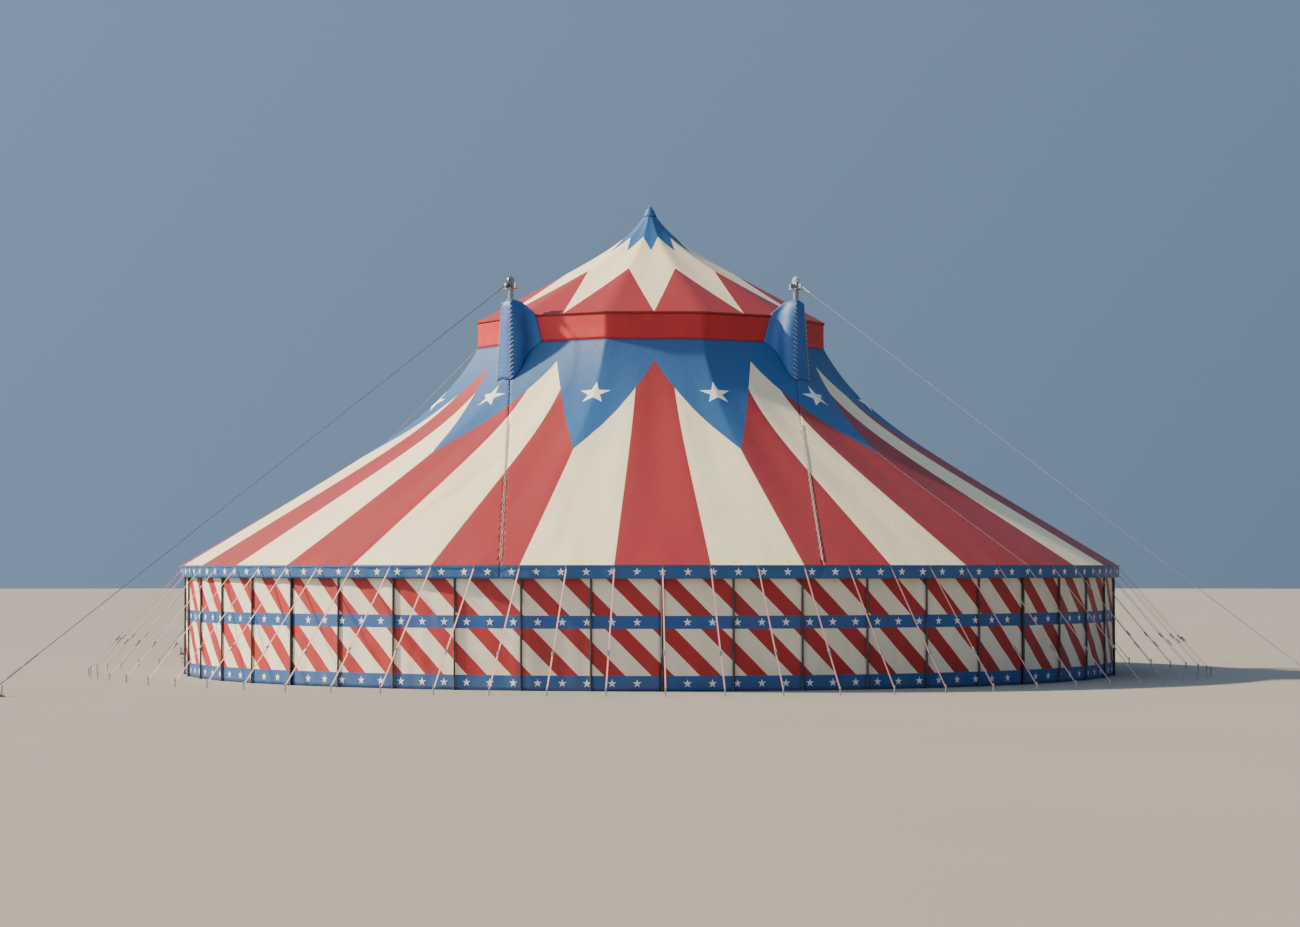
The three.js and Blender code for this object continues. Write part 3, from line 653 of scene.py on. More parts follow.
# A five-pointed star at every vertex of a mesh, one point upwards
star_tree, add, given = geometry_tree("stars", Size="Float", Fineness="Int", Finish="Material")
narrow = add("ShaderNodeMath", {0: given["Size"], 1: 0.382}, operation="MULTIPLY")
outline = {"Points": 5, "Inner Radius": narrow, "Outer Radius": given["Size"]}
star = add("GeometryNodeFillCurve", {"Curve": add("GeometryNodeCurveStar", outline)})
fine = add("GeometryNodeSubdivideMesh", {"Mesh": star, "Level": given["Fineness"]})
copying = {"Points": given["Geometry"], "Instance": fine, "Rotation": (0, 0, math.pi / 2)}
close_tree(add, add("GeometryNodeInstanceOnPoints", copying), given["Finish"])


def stars(name, centres, size, place, fineness=1):
    """Stars on a cloth, from their centres in metres on the flat cloth. fineness is how many
    times each one's faces are cut in four, so that it bends with the cloth."""
    mesh = bpy.data.meshes.new(name)
    mesh.from_pydata([(x, y, 0) for x, y in centres], [], [])
    piece = grow(name, mesh, star_tree, Size=size, Fineness=fineness, Finish=white_foil)
    mesh = piece.data
    x, y = np.array([vert.co.xy for vert in mesh.vertices]).T
    corners = [mesh.vertices[loop.vertex_index].co.xy for loop in mesh.loops]
    mesh.uv_layers.new(name="flat").data.foreach_set("uv", np.array(corners).ravel())
    step = 0.01
    points = place(x, y)
    normals = np.cross(place(x + step, y) - points, place(x, y + step) - points)
    normals /= np.linalg.norm(normals, axis=1, keepdims=True)
    outwards = np.sign(((points - (0, 0, 5)) * normals).sum(axis=1, keepdims=True))
    points = points + normals * outwards * STAR_LIFT
    mesh.vertices.foreach_set("co", points.ravel())
    if outwards.mean() < 0:
        mesh.flip_normals()
    mesh.update()
    return piece


def collar_star_place(x, y):
    """From metres round and up the slope at the collar's stars to the canopy."""
    ends = COLLAR_STAR_RADIUS + np.array([-0.1, 0.1])
    high, low = canopy_level(GORE_STEP / 2, canopy_run(ends))
    slope = math.hypot(1, (high - low) / (ends[1] - ends[0]))
    return on_canopy(np.degrees(x / COLLAR_STAR_RADIUS) / GORE_STEP, COLLAR_STAR_RADIUS - y / slope)


def valance_star_place(x, y):
    return on_canopy(np.degrees(x / EAVE_RADIUS) / GORE_STEP, EAVE_RADIUS + VALANCE_DROP / 2 - y)


def edge_cuts(first, last, edge, unit, reach):
    """Cuts that follow an edge between two azimuths. The flat cloth counts azimuths in units
    of so many degrees, and the edge lies between the two ends of reach."""
    cuts = []
    for azimuth in np.arange(math.floor(first / EDGE_STEP) * EDGE_STEP, last, EDGE_STEP):
        left, right = azimuth / unit, (azimuth + EDGE_STEP) / unit
        start, end = edge(azimuth), edge(azimuth + EDGE_STEP)
        cuts.append(((left, reach[0]), (right, reach[1]), (left, start), (right - left, end - start)))
    return cuts


def sheet_of(azimuth, radius):
    """Which sheet of the canopy a spot is on."""
    x, y, _ = towards(azimuth) * radius
    end = "front" if y < 0 else "back"
    return end if abs(x) < SEAM_OFFSET else ("right_" if x > 0 else "left_") + end


def star_row(sheet, radius, count, first=0):
    """The stars of a row of so many round the canopy that are on one of its sheets."""
    azimuths = [first + 360 / count * k for k in range(count)]
    return [(math.radians(a) * radius, 0) for a in azimuths if sheet_of(a, radius) == sheet]


# Each sheet: the azimuths that it is laid out between, and the planes that trim it
inner, outer = SEAM_OFFSET - SEAM_GAP / 2, SEAM_OFFSET + SEAM_GAP / 2
between = [((inner, 0, 0), (1, 0, 0)), ((-inner, 0, 0), (-1, 0, 0))]
CANOPY_SHEETS = {
    "front": (-54, 54, between),
    "back": (126, 234, between),
    "right_front": (15, 90, [((outer, 0, 0), (-1, 0, 0))]),
    "right_back": (90, 165, [((outer, 0, 0), (-1, 0, 0))]),
    "left_back": (195, 270, [((-outer, 0, 0), (1, 0, 0))]),
    "left_front": (270, 345, [((-outer, 0, 0), (1, 0, 0))]),
}
masts = [at_corner(azimuth, (MAST_RADIAL, 0, 0)).xy for azimuth in CORNERS.values()]
steep = RING_RADIUS + (EAVE_RADIUS - RING_RADIUS) * np.linspace(0, 1, 61) ** 1.35
below = EAVE_RADIUS + VALANCE_DROP * np.linspace(0, 1, 7)[1:]
canopy_rows = np.concatenate([steep, below])
for side, (first, last, trims) in CANOPY_SHEETS.items():
    columns = np.arange(first, last + COLUMN_STEP / 2, COLUMN_STEP) / GORE_STEP
    cuts = edge_cuts(first, last, collar_edge, GORE_STEP, (RING_RADIUS, EAVE_RADIUS))
    sheet = hang(
        f"canopy_sheet_{side}", columns, canopy_rows, on_canopy, canopy_finishes, canopy_panel,
        cuts=cuts, trims=trims, notches=masts,
    )
    fix(sheet, "canopy_pvc", "canopy_" + side.split("_")[0])
    centres = star_row(side, COLLAR_STAR_RADIUS, COLLAR_STARS, RING_STEP / 2)
    collar_stars = stars(f"collar_stars_{side}", centres, COLLAR_STAR, collar_star_place, fineness=4)
    centres = star_row(side, EAVE_RADIUS, BAND_STARS)
    valance_stars = stars(f"valance_stars_{side}", centres, BAND_STAR, valance_star_place)
    made = [fix(piece, "canopy_pvc") for piece in (collar_stars, valance_stars)]
    flat = (SIDE_WIDTH if "_" in side else MIDDLE_WIDTH, CANOPY_LENGTH)


# Lacing and seam tape. Rope loops pass through eyelets along the two lines where the
# canopy's sheets meet, and a pale tape covers the joint between two like gores on each
# right-hand diagonal.
LACE_STEP = 0.3528
LACE_RADIUS = 0.008
LACE_LIFT = 0.012
LACE_FROM, LACE_TO = 7.448, 15.43
TAPE_HALF = 0.02
TAPE_LIFT = 0.005
TAPE_ROWS = 40
# Three-strand polypropylene rope: dull white, grey with dirt
pale_rope = painted("pale_polypropylene_rope", "#BDB8AB", "#857F73", 0.75, coat=0.0)
# The same cloth, cut as tape and faded to a dusty pink
pink_tape = tarpaulin("faded_seam_tape", "#C7A093", "#8F6F66", (2.0, 0.5))

# A hairpin of the lacing: out of an eyelet, round, and back. Each point's place is across the
# joint, along it, and above the cloth as a share of the lift.
HAIRPIN = [(-0.045, -0.03, -0.006), (-0.02, 0.12, 1.0), (-0.016, 0.3, 0.6), (0.0, 0.34, 0.5)]
HAIRPIN += [(-across, along, lift) for across, along, lift in HAIRPIN[2::-1]]
for side, sign in (("front", -1), ("back", 1)):
    for hand, x in (("right", SEAM_OFFSET), ("left", -SEAM_OFFSET)):
        loops = []
        for start in np.arange(LACE_FROM, LACE_TO, LACE_STEP):
            spots = [(x + u, sign * (start + v), w * LACE_LIFT + LACE_RADIUS) for u, v, w in HAIRPIN]
            loops.append([(u, v, canopy_height(u, v) + w) for u, v, w in spots])
        fix(tubes(f"lacing_{side}_{hand}", loops, LACE_RADIUS, pale_rope, 6), "canopy_pvc")

for side, azimuth in (("front", 45), ("back", 135)):
    radii = np.repeat(np.linspace(COLLAR_LOW, EAVE_RADIUS, TAPE_ROWS), 3)
    turns = np.degrees(np.tile([-TAPE_HALF, 0, TAPE_HALF], TAPE_ROWS) / radii)
    points = on_canopy((azimuth + turns) / GORE_STEP, radii) + (0, 0, TAPE_LIFT)
    firsts = [3 * k + j for k in range(TAPE_ROWS - 1) for j in (0, 1)]
    mesh = bpy.data.meshes.new(f"seam_tape_{side}")
    mesh.from_pydata(points.tolist(), [], [(a, a + 3, a + 4, a + 1) for a in firsts])
    fix(dressed(f"seam_tape_{side}", mesh, pink_tape), "canopy_pvc")


# Cupola band. An upright strip of red PVC cloth round the ring truss, in four lengths that
# stop at the masts, eyeletted and tied to the truss's two chords.
BAND_FOOT = 11.372
BAND_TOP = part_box("cupola_band")[1][2]
BAND_DIP = 0.012
BAND_INSET = 0.002
BAND_ROWS = 10
ARM_HALF = 0.06
ARM_TURN = math.degrees(ARM_HALF / RING_RADIUS)


def on_band(arc, height):
    azimuth = np.degrees(arc / RING_RADIUS)
    tied = 0.5 - 0.5 * np.cos(2 * math.pi * (height - BAND_FOOT) / (BAND_TOP - BAND_FOOT))
    puckers = 0.5 + 0.5 * np.sin(azimuth * 2.3 + 1.1 * np.sin(azimuth * 0.61))
    reach = RING_RADIUS * flat_sided(azimuth) - BAND_INSET - BAND_DIP * tied * (0.6 + 0.4 * puckers)
    return around(azimuth, reach, height)


band_red = tarpaulin("bright_red_tarpaulin", "#C8282E", "#7A2022", (2.2, 0.8))
band_rows = np.linspace(BAND_FOOT, BAND_TOP, BAND_ROWS)
SIDES = {"front": 0, "right": 90, "back": 180, "left": 270}
for side, middle in SIDES.items():
    low, high = middle - 45 + ARM_TURN, middle + 45 - ARM_TURN
    columns = np.radians([low, *np.arange(math.ceil(low), high), high]) * RING_RADIUS
    band = hang(f"band_{side}", columns, band_rows, on_band, [band_red])
    fix(band, "band_pvc", "cupola_band")
    flat = (math.radians(high - low) * RING_RADIUS, BAND_TOP - BAND_FOOT)


# Cupola roof. A small twelve-sided cone of the same cloth as the canopy: a blue cap with a
# saw-toothed edge, red triangles round the foot and cream between, pulled over the rafters.
ROOF_FOOT = 12.366
ROOF_RUN = 6.212
ROOF_RISE = 3.404
PEAK_RISE = 0.835
PEAK_RUN = 0.679
ROOF_EDGE = 6.33
ROOF_TOP_RADIUS = 0.135
ROOF_SAG = 0.03
ROOF_INSET = 0.004
CAP_LOW, CAP_HIGH = 1.75, 1.0
TRIANGLE_PEAK = 3.1
HEM_DROP = 0.06


def roof_slope(radius):
    """The height of the rafters' straight slope."""
    return ROOF_FOOT + ROOF_RISE / ROOF_RUN * (ROOF_RUN - radius)


def on_roof(side, radius):
    """The roof's cloth from its place in sides of the ring and its corner radius; what is
    past the edge hangs down as a hem."""
    along = np.minimum(radius, ROOF_EDGE)
    hanging = np.maximum(radius - ROOF_EDGE, 0)
    height = roof_slope(along) + PEAK_RISE * np.exp(-along / PEAK_RUN) - ROOF_INSET - hanging
    sag = ROOF_SAG * np.sin(math.pi * along / ROOF_EDGE) * np.cos(math.pi * side) ** 2
    azimuth = side * RING_STEP
    return around(azimuth, along * flat_sided(azimuth), height - sag)


def roof_edge(azimuth, middle, corner):
    """A straight edge on the roof, from the middle of each side to its corners."""
    turn, half = from_middle(azimuth), RING_STEP / 2
    flat = math.cos(math.radians(half))
    return straight(turn, (0, middle * flat), (half, corner)) * math.cos(math.radians(turn)) / flat


cap_edge = partial(roof_edge, middle=CAP_LOW, corner=CAP_HIGH)
triangle_edge = partial(roof_edge, middle=ROOF_EDGE, corner=TRIANGLE_PEAK)


def roof_panel(side, radius):
    azimuth = side * RING_STEP
    if radius < by_steps(cap_edge, azimuth):
        return 2
    return 0 if radius > by_steps(triangle_edge, azimuth) else 1


roof_cuts = edge_cuts(-180, 180, cap_edge, RING_STEP, (0, TRIANGLE_PEAK))
roof_cuts += edge_cuts(-180, 180, triangle_edge, RING_STEP, (CAP_LOW, ROOF_EDGE))
near_peak = ROOF_TOP_RADIUS + (ROOF_EDGE - ROOF_TOP_RADIUS) * np.linspace(0, 1, 34) ** 1.4
roof_rows = np.append(near_peak, [ROOF_EDGE + HEM_DROP])
roof_finishes = [
    tarpaulin("cupola_red_tarpaulin", "#992A2E", RED_SOIL, (14.0, 0.5)),
    tarpaulin("cupola_cream_tarpaulin", "#FDF0CB", CREAM_SOIL, (14.0, 0.5)),
    canopy_blue,
]
columns = np.linspace(-6, 6, 145)
roof = hang("cupola_roof_cloth", columns, roof_rows, on_roof, roof_finishes, roof_panel, roof_cuts)
fix(roof, "cupola_pvc", "cupola_roof")
flat = (2 * ROOF_EDGE, 2 * ROOF_EDGE)


# Peak cap. A spun steel cone with a rolled rim, painted blue, screwed down over the hole
# where the roof's cloth meets the centre post.
CAP_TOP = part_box("peak_cap")[1][2]
CAP_SKIRT = 0.23
CAP_INSIDE = 16.481

skirt = float(on_roof(0.5, CAP_SKIRT)[2])
cap_profile = [(0, CAP_INSIDE), (0.1, CAP_INSIDE), (CAP_SKIRT, skirt + 0.01)]
cap_profile += [(CAP_SKIRT + 0.012, skirt + 0.008), (CAP_SKIRT + 0.016, skirt + 0.02)]
cap_profile += [(CAP_SKIRT + 0.006, skirt + 0.032), (0.16, 16.43), (0.09, 16.535), (0.05, 16.58)]
cap_profile += [(0.03, 16.605), (0.024, CAP_TOP - 0.01), (0, CAP_TOP)]
blue_paint = painted("blue_painted_steel", "#1F5598", "#8C8F92", 0.4)
cone = ended(turned(bmesh.new(), cap_profile, 48))
fix(dressed("peak_cap_cone", cone, blue_paint), "painted_steel", "peak_cap")


# Mast hoods. Blue cloth sleeves that close the gap between canopy, band and mast: each is
# strapped round the mast at its top and laced to the band down both flaps.
HOOD_TOP = 12.8
HOOD_NECK = 0.125
HOOD_TOP_HALF = 0.2
HOOD_LOW = 9.6
HOOD_FLAP_HIGH = (12.34, 0.5)
HOOD_FLAP_LOW = (11.4, 0.76)
HOOD_CLEAR = 0.012
HOOD_FACE = 0.3
HOOD_SLEEVE = 0.42
HOOD_BULGE = 0.05
HOOD_HOLLOW = 0.13
HOOD_COLUMNS = 21
HOOD_ROWS = 20
BACK_HOLLOW = 0.12
BACK_SAG = 0.05
BACK_TURN = 1.2
LOOP_STEP = 0.15
LOOP_RADIUS = 0.013
HOOD_STRAP = 0.05


def hood_seam(half):
    """How far out the flap's edge lies on the band."""
    return RING_RADIUS + HOOD_CLEAR - half * math.tan(math.radians(RING_STEP / 2))


def hood_section(height):
    """The hood's corners at a height, outwards and sideways: flap edge, then face edge."""
    drop = HOOD_TOP - height
    face = (MAST_RADIAL + HOOD_TOP_HALF + 0.037 * drop, HOOD_TOP_HALF + 0.06 * drop)
    (high, high_half), (low, low_half) = HOOD_FLAP_HIGH, HOOD_FLAP_LOW
    if height > high:
        share = drop / (HOOD_TOP - high)
        back = MAST_RADIAL - HOOD_TOP_HALF
        half = HOOD_TOP_HALF + share * (high_half - HOOD_TOP_HALF)
        return (back + share * (hood_seam(high_half) - back), half), face
    half = min(high_half + (high - height) / (high - low) * (low_half - high_half), low_half)
    below = max(low - height, 0)
    return (hood_seam(half) + 0.1 * below, half - 0.1 * below), face


def hood_point(across, height):
    """The hood's surface; across runs from -1 to 1, with the outward face in the middle.
    Each side swells round the mast and then lies hollow up to the band."""
    (back, back_half), (out, out_half) = hood_section(height)
    share = (abs(across) - HOOD_FACE) / (1 - HOOD_FACE)
    down = min((HOOD_TOP - height) / 0.8, 1)
    if share <= 0:
        flat = across / HOOD_FACE
        return Vector((out + HOOD_BULGE * down * (1 - flat**2), out_half * flat, height))
    if share < HOOD_SLEEVE:
        swell = HOOD_BULGE * math.sin(math.pi * share / HOOD_SLEEVE)
    else:
        swell = -HOOD_HOLLOW * math.sin(math.pi * (share - HOOD_SLEEVE) / (1 - HOOD_SLEEVE))
    inwards = Vector((back - out, back_half - out_half))
    beside = Vector((inwards.y, -inwards.x)).normalized()
    u, v = Vector((out, out_half)) + inwards * share + beside * swell * down
    return Vector((u, math.copysign(v, across), height))


def hood_foot(across, azimuth):
    """The height at which the hood's surface meets the canopy."""
    low, high = HOOD_LOW, HOOD_TOP
    for _ in range(22):
        height = (low + high) / 2
        x, y, _ = at_corner(azimuth, hood_point(across, height))
        below = height < canopy_height(x, y) + 0.01
        low, high = (height, high) if below else (low, height)
    return high


def on_hood(azimuth, feet, across, down):
    """The hood's cloth from its place across it and its share of the way to its foot; its top
    is drawn in to the mast."""
    points = []
    for a, d in zip(across, down):
        foot = feet[min(feet, key=lambda key: abs(key - a))]
        point = hood_point(a, HOOD_TOP - d * (HOOD_TOP - foot))
        neck = Vector((point.x - MAST_RADIAL, point.y, 0))
        neck = neck * (HOOD_NECK / neck.length) + Vector((MAST_RADIAL, 0, point.z))
        points.append(at_corner(azimuth, point.lerp(neck, max(0, 1 - d / 0.05))))
    return points


def on_back(azimuth, across, down):
    """The back flap, which lies over the roof's edge between the two side flaps."""
    back, half = hood_section(HOOD_FLAP_HIGH[0])[0]
    points = []
    for a, d in zip(across, down):
        turn, slack = a * BACK_TURN, 1 - a * a
        top = Vector((MAST_RADIAL - HOOD_NECK * math.cos(turn), HOOD_NECK * math.sin(turn), HOOD_TOP))
        foot = Vector((back - BACK_HOLLOW * slack, a * half, 0))
        x, y, _ = at_corner(azimuth, foot)
        radius = math.hypot(x, y) / flat_sided(math.degrees(math.atan2(x, -y)))
        foot.z = roof_slope(min(radius, ROOF_EDGE)) + HOOD_CLEAR
        point = top.lerp(foot, d)
        point.z -= BACK_SAG * math.sin(math.pi * d) * slack
        points.append(at_corner(azimuth, point))
    return points


# Blue PVC cloth for the hoods, a little lighter than the canopy's blue: the extra lightness is painted
# sunlight, for the sun on the hoods' pale faces.
sunlit_hood_blue = tarpaulin("hood_blue_tarpaulin", "#2C66AC", BLUE_SOIL, (3.0, 0.6))
white_webbing = painted("white_webbing", "#DAD8D0", "#B9B4A6", 0.8)
faces_across = np.linspace(-HOOD_FACE, HOOD_FACE, 9)
flap_across = np.linspace(HOOD_FACE, 1, HOOD_COLUMNS)[1:]
hood_across = np.array([*-flap_across[::-1], *faces_across, *flap_across])
hood_down = np.array([0, 0.025, *np.linspace(0.05, 1, HOOD_ROWS)])
for corner, azimuth in CORNERS.items():
    feet = {across: hood_foot(across, azimuth) for across in hood_across}
    inside = (*at_corner(azimuth, (MAST_RADIAL - 0.4, 0, 0)).xy, 11.6)
    place = partial(on_hood, azimuth, feet)
    hood = hang(f"hood_{corner}", hood_across, hood_down, place, [sunlit_hood_blue], inside=inside)
    fix(hood, "hood_pvc", f"mast_hood_{corner}")
    across, down = np.linspace(-1, 1, 15), np.linspace(0, 1, 9)
    flap = hang(f"hood_back_{corner}", across, down, partial(on_back, azimuth), [sunlit_hood_blue])
    fix(flap, "hood_pvc")

    seams = []
    for sign in (-1, 1):
        lift = Vector((0.5, sign, 0)).normalized() * HOOD_CLEAR
        for height in np.arange(feet[HOOD_FACE] + 0.1, HOOD_TOP - 0.1, LOOP_STEP):
            loop = [hood_point(sign * (HOOD_FACE + k), height + k) + lift for k in (-0.06, 0, 0.05)]
            seams.append([at_corner(azimuth, point) for point in loop])
    fix(tubes(f"hood_lacing_{corner}", seams, LOOP_RADIUS, pale_rope, 6), "hood_pvc")

    strap = hoop(HOOD_NECK - 0.012, HOOD_NECK + 0.008, HOOD_TOP - HOOD_STRAP, HOOD_TOP)
    strap = ended(turned(bmesh.new(), strap, 32, facing(azimuth, (MAST_RADIAL, 0, 0))))
    fix(dressed(f"hood_strap_{corner}", strap, white_webbing), "webbing")


# Mast heads. A cap plate with crossed ears of thick plate carries the hoist's sheave between
# two cheeks; two rods hang from it and hold the ring's collar. Shackles take the stays.
EAR_REACH = 0.26
EAR_EYE = 0.19
EYE_HEIGHT = MAST_TOP + 0.12
CAP_PLATE_TOP = MAST_TOP + 0.0303
HEAD_BOLT = (0.14, 0.1)
SHEAVE_HEIGHT = MAST_TOP + 0.3
SHEAVE_HUB, SHEAVE_RADIUS = 0.09, 0.125
HOIST_ROPE_RADIUS = 0.008
COLLAR_TOP = 12.14
steel_rope = steel("stay_rope_steel", "#9EA2A4", "#5E6264", 0.38, 0.02)
across_mast = Matrix.Rotation(math.radians(90), 4, "X")

for corner, azimuth in CORNERS.items():
    refinish(f"mast_head_{corner}", galvanised)
    hub = facing(azimuth, (MAST_RADIAL, 0, SHEAVE_HEIGHT), across_mast)
    fittings = bmesh.new()
    for side in (-1, 1):
        rim = SHEAVE_RADIUS + 0.012
        flange = [(SHEAVE_HUB, side * 0.006), (rim, side * 0.026)]
        flange += [(rim, side * 0.032), (SHEAVE_HUB, side * 0.032)]
        turned(fittings, flange, 32, hub)
        turned(fittings, hoop(0, 0.034, side * 0.06, side * 0.084), 6, hub)
        for u in (1, -1):
            eye = facing(azimuth, (MAST_RADIAL + u * EAR_EYE, 0, EYE_HEIGHT), across_mast)
            turned(fittings, hoop(0.045, 0.075, side * 0.012, side * 0.026), 20, eye)
    fix(dressed(f"sheave_and_bosses_{corner}", ended(fittings), galvanised), "galvanised_steel")

    reach = SHEAVE_RADIUS + HOIST_ROPE_RADIUS
    over = [(reach * math.cos(a), reach * math.sin(a)) for a in np.radians(range(0, 181, 15))]
    rope = [(reach, COLLAR_TOP), *[(u, SHEAVE_HEIGHT + z) for u, z in over], (-reach, COLLAR_TOP)]
    rope = [at_corner(azimuth, (MAST_RADIAL + u, 0, z)) for u, z in rope]
    fix(tubes(f"hoist_rope_{corner}", [rope], HOIST_ROPE_RADIUS, steel_rope, 8), "steel_rope")

    spots = [(u * HEAD_BOLT[0], v * HEAD_BOLT[1]) for u in (-1, 1) for v in (-1, 1)]
    spots = [at_corner(azimuth, (MAST_RADIAL + u, v, CAP_PLATE_TOP)) for u, v in spots]
    places = [(spot, math.radians(azimuth)) for spot in spots]
    fix(spread(f"head_bolts_{corner}", bolt_shape, places, galvanised), "galvanised_steel")


# Side poles. Steel tubes every 7.5 degrees under the eave, each with a foot plate, a welded
# collar for the head cable and a pin that passes through the eave's eyelet. The cable runs
# from pole to pole and carries the sidewall.
POLE_STEP = 7.5
POLE_RADIAL = 16.335
POLE_RADIUS = 0.034
POLE_TOP = 3.815
CABLE_HEIGHT = 3.752
CABLE_RADIUS = 0.011
ENTRANCE = 180
pole_profile = [(0, 0), (0.075, 0), (0.075, 0.008), (0.04, 0.012), (0.04, 0.06), (POLE_RADIUS, 0.066)]
pole_profile += [(POLE_RADIUS, 3.66), (0.038, 3.665), (0.038, 3.79), (0.026, POLE_TOP)]
pole_profile += [(0.009, POLE_TOP), (0.009, POLE_TOP + 0.07), (0, POLE_TOP + 0.075)]
pole_shape = ended(turned(bmesh.new(), pole_profile, 14), "side_pole")
# Dark paint on steel tube, scuffed to grey where hands and ropes rub it.
pole_paint = painted("dark_painted_tube", "#2B2F35", "#7C7F82", 0.5)

for side, middle in SIDES.items():
    azimuths = [middle - 45 + k * POLE_STEP for k in range(13)]
    places = [(towards(a) * POLE_RADIAL, math.radians(a)) for a in azimuths[:-1] if a != ENTRANCE]
    poles = spread(f"tent_poles_{side}", pole_shape, places, pole_paint)
    fix(poles, "pole_steel", f"side_poles_{side}")
    line = [towards(a) * POLE_RADIAL + Vector((0, 0, CABLE_HEIGHT)) for a in azimuths]
    cable = tubes(f"head_cable_{side}", [line], CABLE_RADIUS, steel_rope, 8)
    fix(cable, "steel_rope", f"side_poles_{side}")


# Sidewall. Eight curtains of PVC-coated cloth, hung from the head cable and laced pole to
# pole: slanting red and cream stripes in two tiers, with blue bands and white stars between
# and below. One bay pair in the middle of the back is left open as the way in.
WALL_RADIUS = 16.3
WALL_HEIGHT = 3.7
WALL_INSET = 0.002
FOOT_BAND = (0.0, 0.46)
MIDDLE_BAND = (1.86, 2.25)
UPPER_TIER_TOP = 3.39
TOP_ROW = 3.55
STRIPE_PERIOD = 1.422
STRIPE_SHARE = 0.45
STRIPE_START = 0.185
WALL_GAP = 0.08
WALL_COLUMN = 0.375
FOLD_LENGTH = 0.71
FOLD_DRIFT = 4.3
FOLD_TOP, FOLD_FOOT = 0.003, 0.016
TO_ARC = math.pi / 180 * WALL_RADIUS


def on_wall(arc, height):
    azimuth = np.degrees(arc / WALL_RADIUS)
    turn = 2 * math.pi * arc
    folds = 0.5 + 0.5 * np.sin(turn / FOLD_LENGTH + 1.7 * np.sin(turn / FOLD_DRIFT))
    depth = FOLD_TOP + (FOLD_FOOT - FOLD_TOP) * (1 - height / WALL_HEIGHT)
    reach = WALL_RADIUS * flat_sided(azimuth, POLE_STEP, 0) - WALL_INSET - depth * folds
    return around(azimuth, reach, height)


def wall_panel(arc, height):
    """Which finish a spot of the wall has: 0 red, 1 cream, 2 blue."""
    if height < FOOT_BAND[1] or MIDDLE_BAND[0] < height < MIDDLE_BAND[1]:
        return 2
    top = MIDDLE_BAND[0] if height < MIDDLE_BAND[0] else UPPER_TIER_TOP
    share = ((arc + height - top) / STRIPE_PERIOD + STRIPE_START) % 1
    return 0 if share < STRIPE_SHARE else 1


def stripe_cuts(first, last):
    """The stripes' edges between two places along the wall."""
    cuts = []
    tiers = (FOOT_BAND[1], MIDDLE_BAND[0], MIDDLE_BAND[0]), (MIDDLE_BAND[1], UPPER_TIER_TOP, WALL_HEIGHT)
    for foot, top, ceiling in tiers:
        low = math.floor((first + foot - top) / STRIPE_PERIOD + STRIPE_START)
        high = math.ceil((last + ceiling - top) / STRIPE_PERIOD + STRIPE_START)
        for edge in [k + share for k in range(low, high + 1) for share in (0, STRIPE_SHARE)]:
            arc = (edge - STRIPE_START) * STRIPE_PERIOD
            cuts.append(((first - 1, foot), (last + 1, ceiling), (arc, top), (1, -1)))
    return cuts


wall_finishes = [
    tarpaulin(f"wall_{name}_tarpaulin", colour, soil, (2.4, 0.7), splash=0.5)
    for name, colour, soil in (
        ("red", "#AE2327", "#7A3431"), ("cream", "#F3E9D2", "#B3A483"), ("blue", "#1F5598", "#54606E")
    )
]
levels = (0, FOOT_BAND[1], *MIDDLE_BAND, UPPER_TIER_TOP, TOP_ROW, WALL_HEIGHT)
steps = zip(levels, levels[1:], (4, 10, 4, 9, 1, 1))
rows = [np.linspace(low, high, count, endpoint=False) for low, high, count in steps]
wall_rows = np.append(np.concatenate(rows), WALL_HEIGHT)
# Each curtain's ends; the two at the back stop at the sides of the way in.
CURTAINS = {
    "front_right": (0, 45),
    "right_front": (45, 90),
    "right_back": (90, 135),
    "back_right": (135, ENTRANCE - POLE_STEP),
    "back_left": (ENTRANCE + POLE_STEP, 225),
    "left_back": (225, 270),
    "left_front": (270, 315),
    "front_left": (315, 360),
}
for name, (first, last) in CURTAINS.items():
    low, high = first * TO_ARC + WALL_GAP / 2, last * TO_ARC - WALL_GAP / 2
    columns = np.linspace(low, high, round((last - first) / WALL_COLUMN) + 1)
    cuts = stripe_cuts(low, high)
    wall = hang(f"curtain_{name}", columns, wall_rows, on_wall, wall_finishes, wall_panel, cuts)
    fix(wall, "wall_pvc", f"wall_{name}")
    arcs = [360 / BAND_STARS * k * TO_ARC for k in range(BAND_STARS)]
    arcs = [arc for arc in arcs if low + BAND_STAR < arc < high - BAND_STAR]
    centres = [(arc, sum(band) / 2) for arc in arcs for band in (FOOT_BAND, MIDDLE_BAND)]
    made = [fix(stars(f"wall_stars_{name}", centres, BAND_STAR, on_wall), "wall_pvc")]
    poles = ["side_poles_" + side for side in SIDES]


# Guy straps. Sun-faded polyester webbing with red edges, one from each corner of the eave to
# a steel stake, tightened by a ratchet at hand height; a blue belt is sewn round the eave
# behind them.
STRAP_TOP = (EAVE_RADIUS + 0.02, 3.7)
STAKE_RADIAL = 19.6
STRAP_FOOT = (STAKE_RADIAL - 0.03, 0.2)
STRAP_HALF = 0.025
STRAP_THICK = 0.004
STRAP_SAG = 0.015
STRAP_START = 0.012
STRAP_POINTS = 15
MAP_STEP = 0.2
LINK_HALF = STRAP_HALF + 0.006
LINK_WIRE = 0.008
RATCHET_SHARE = 0.7
STAKE_TOP = 0.26
EYE_LOW, EYE_TOP = 0.182, 0.198
BELT_FOOT, BELT_TOP = 3.70, 3.75
BELT_INSIDE, BELT_OUTSIDE = 0.001, 0.005

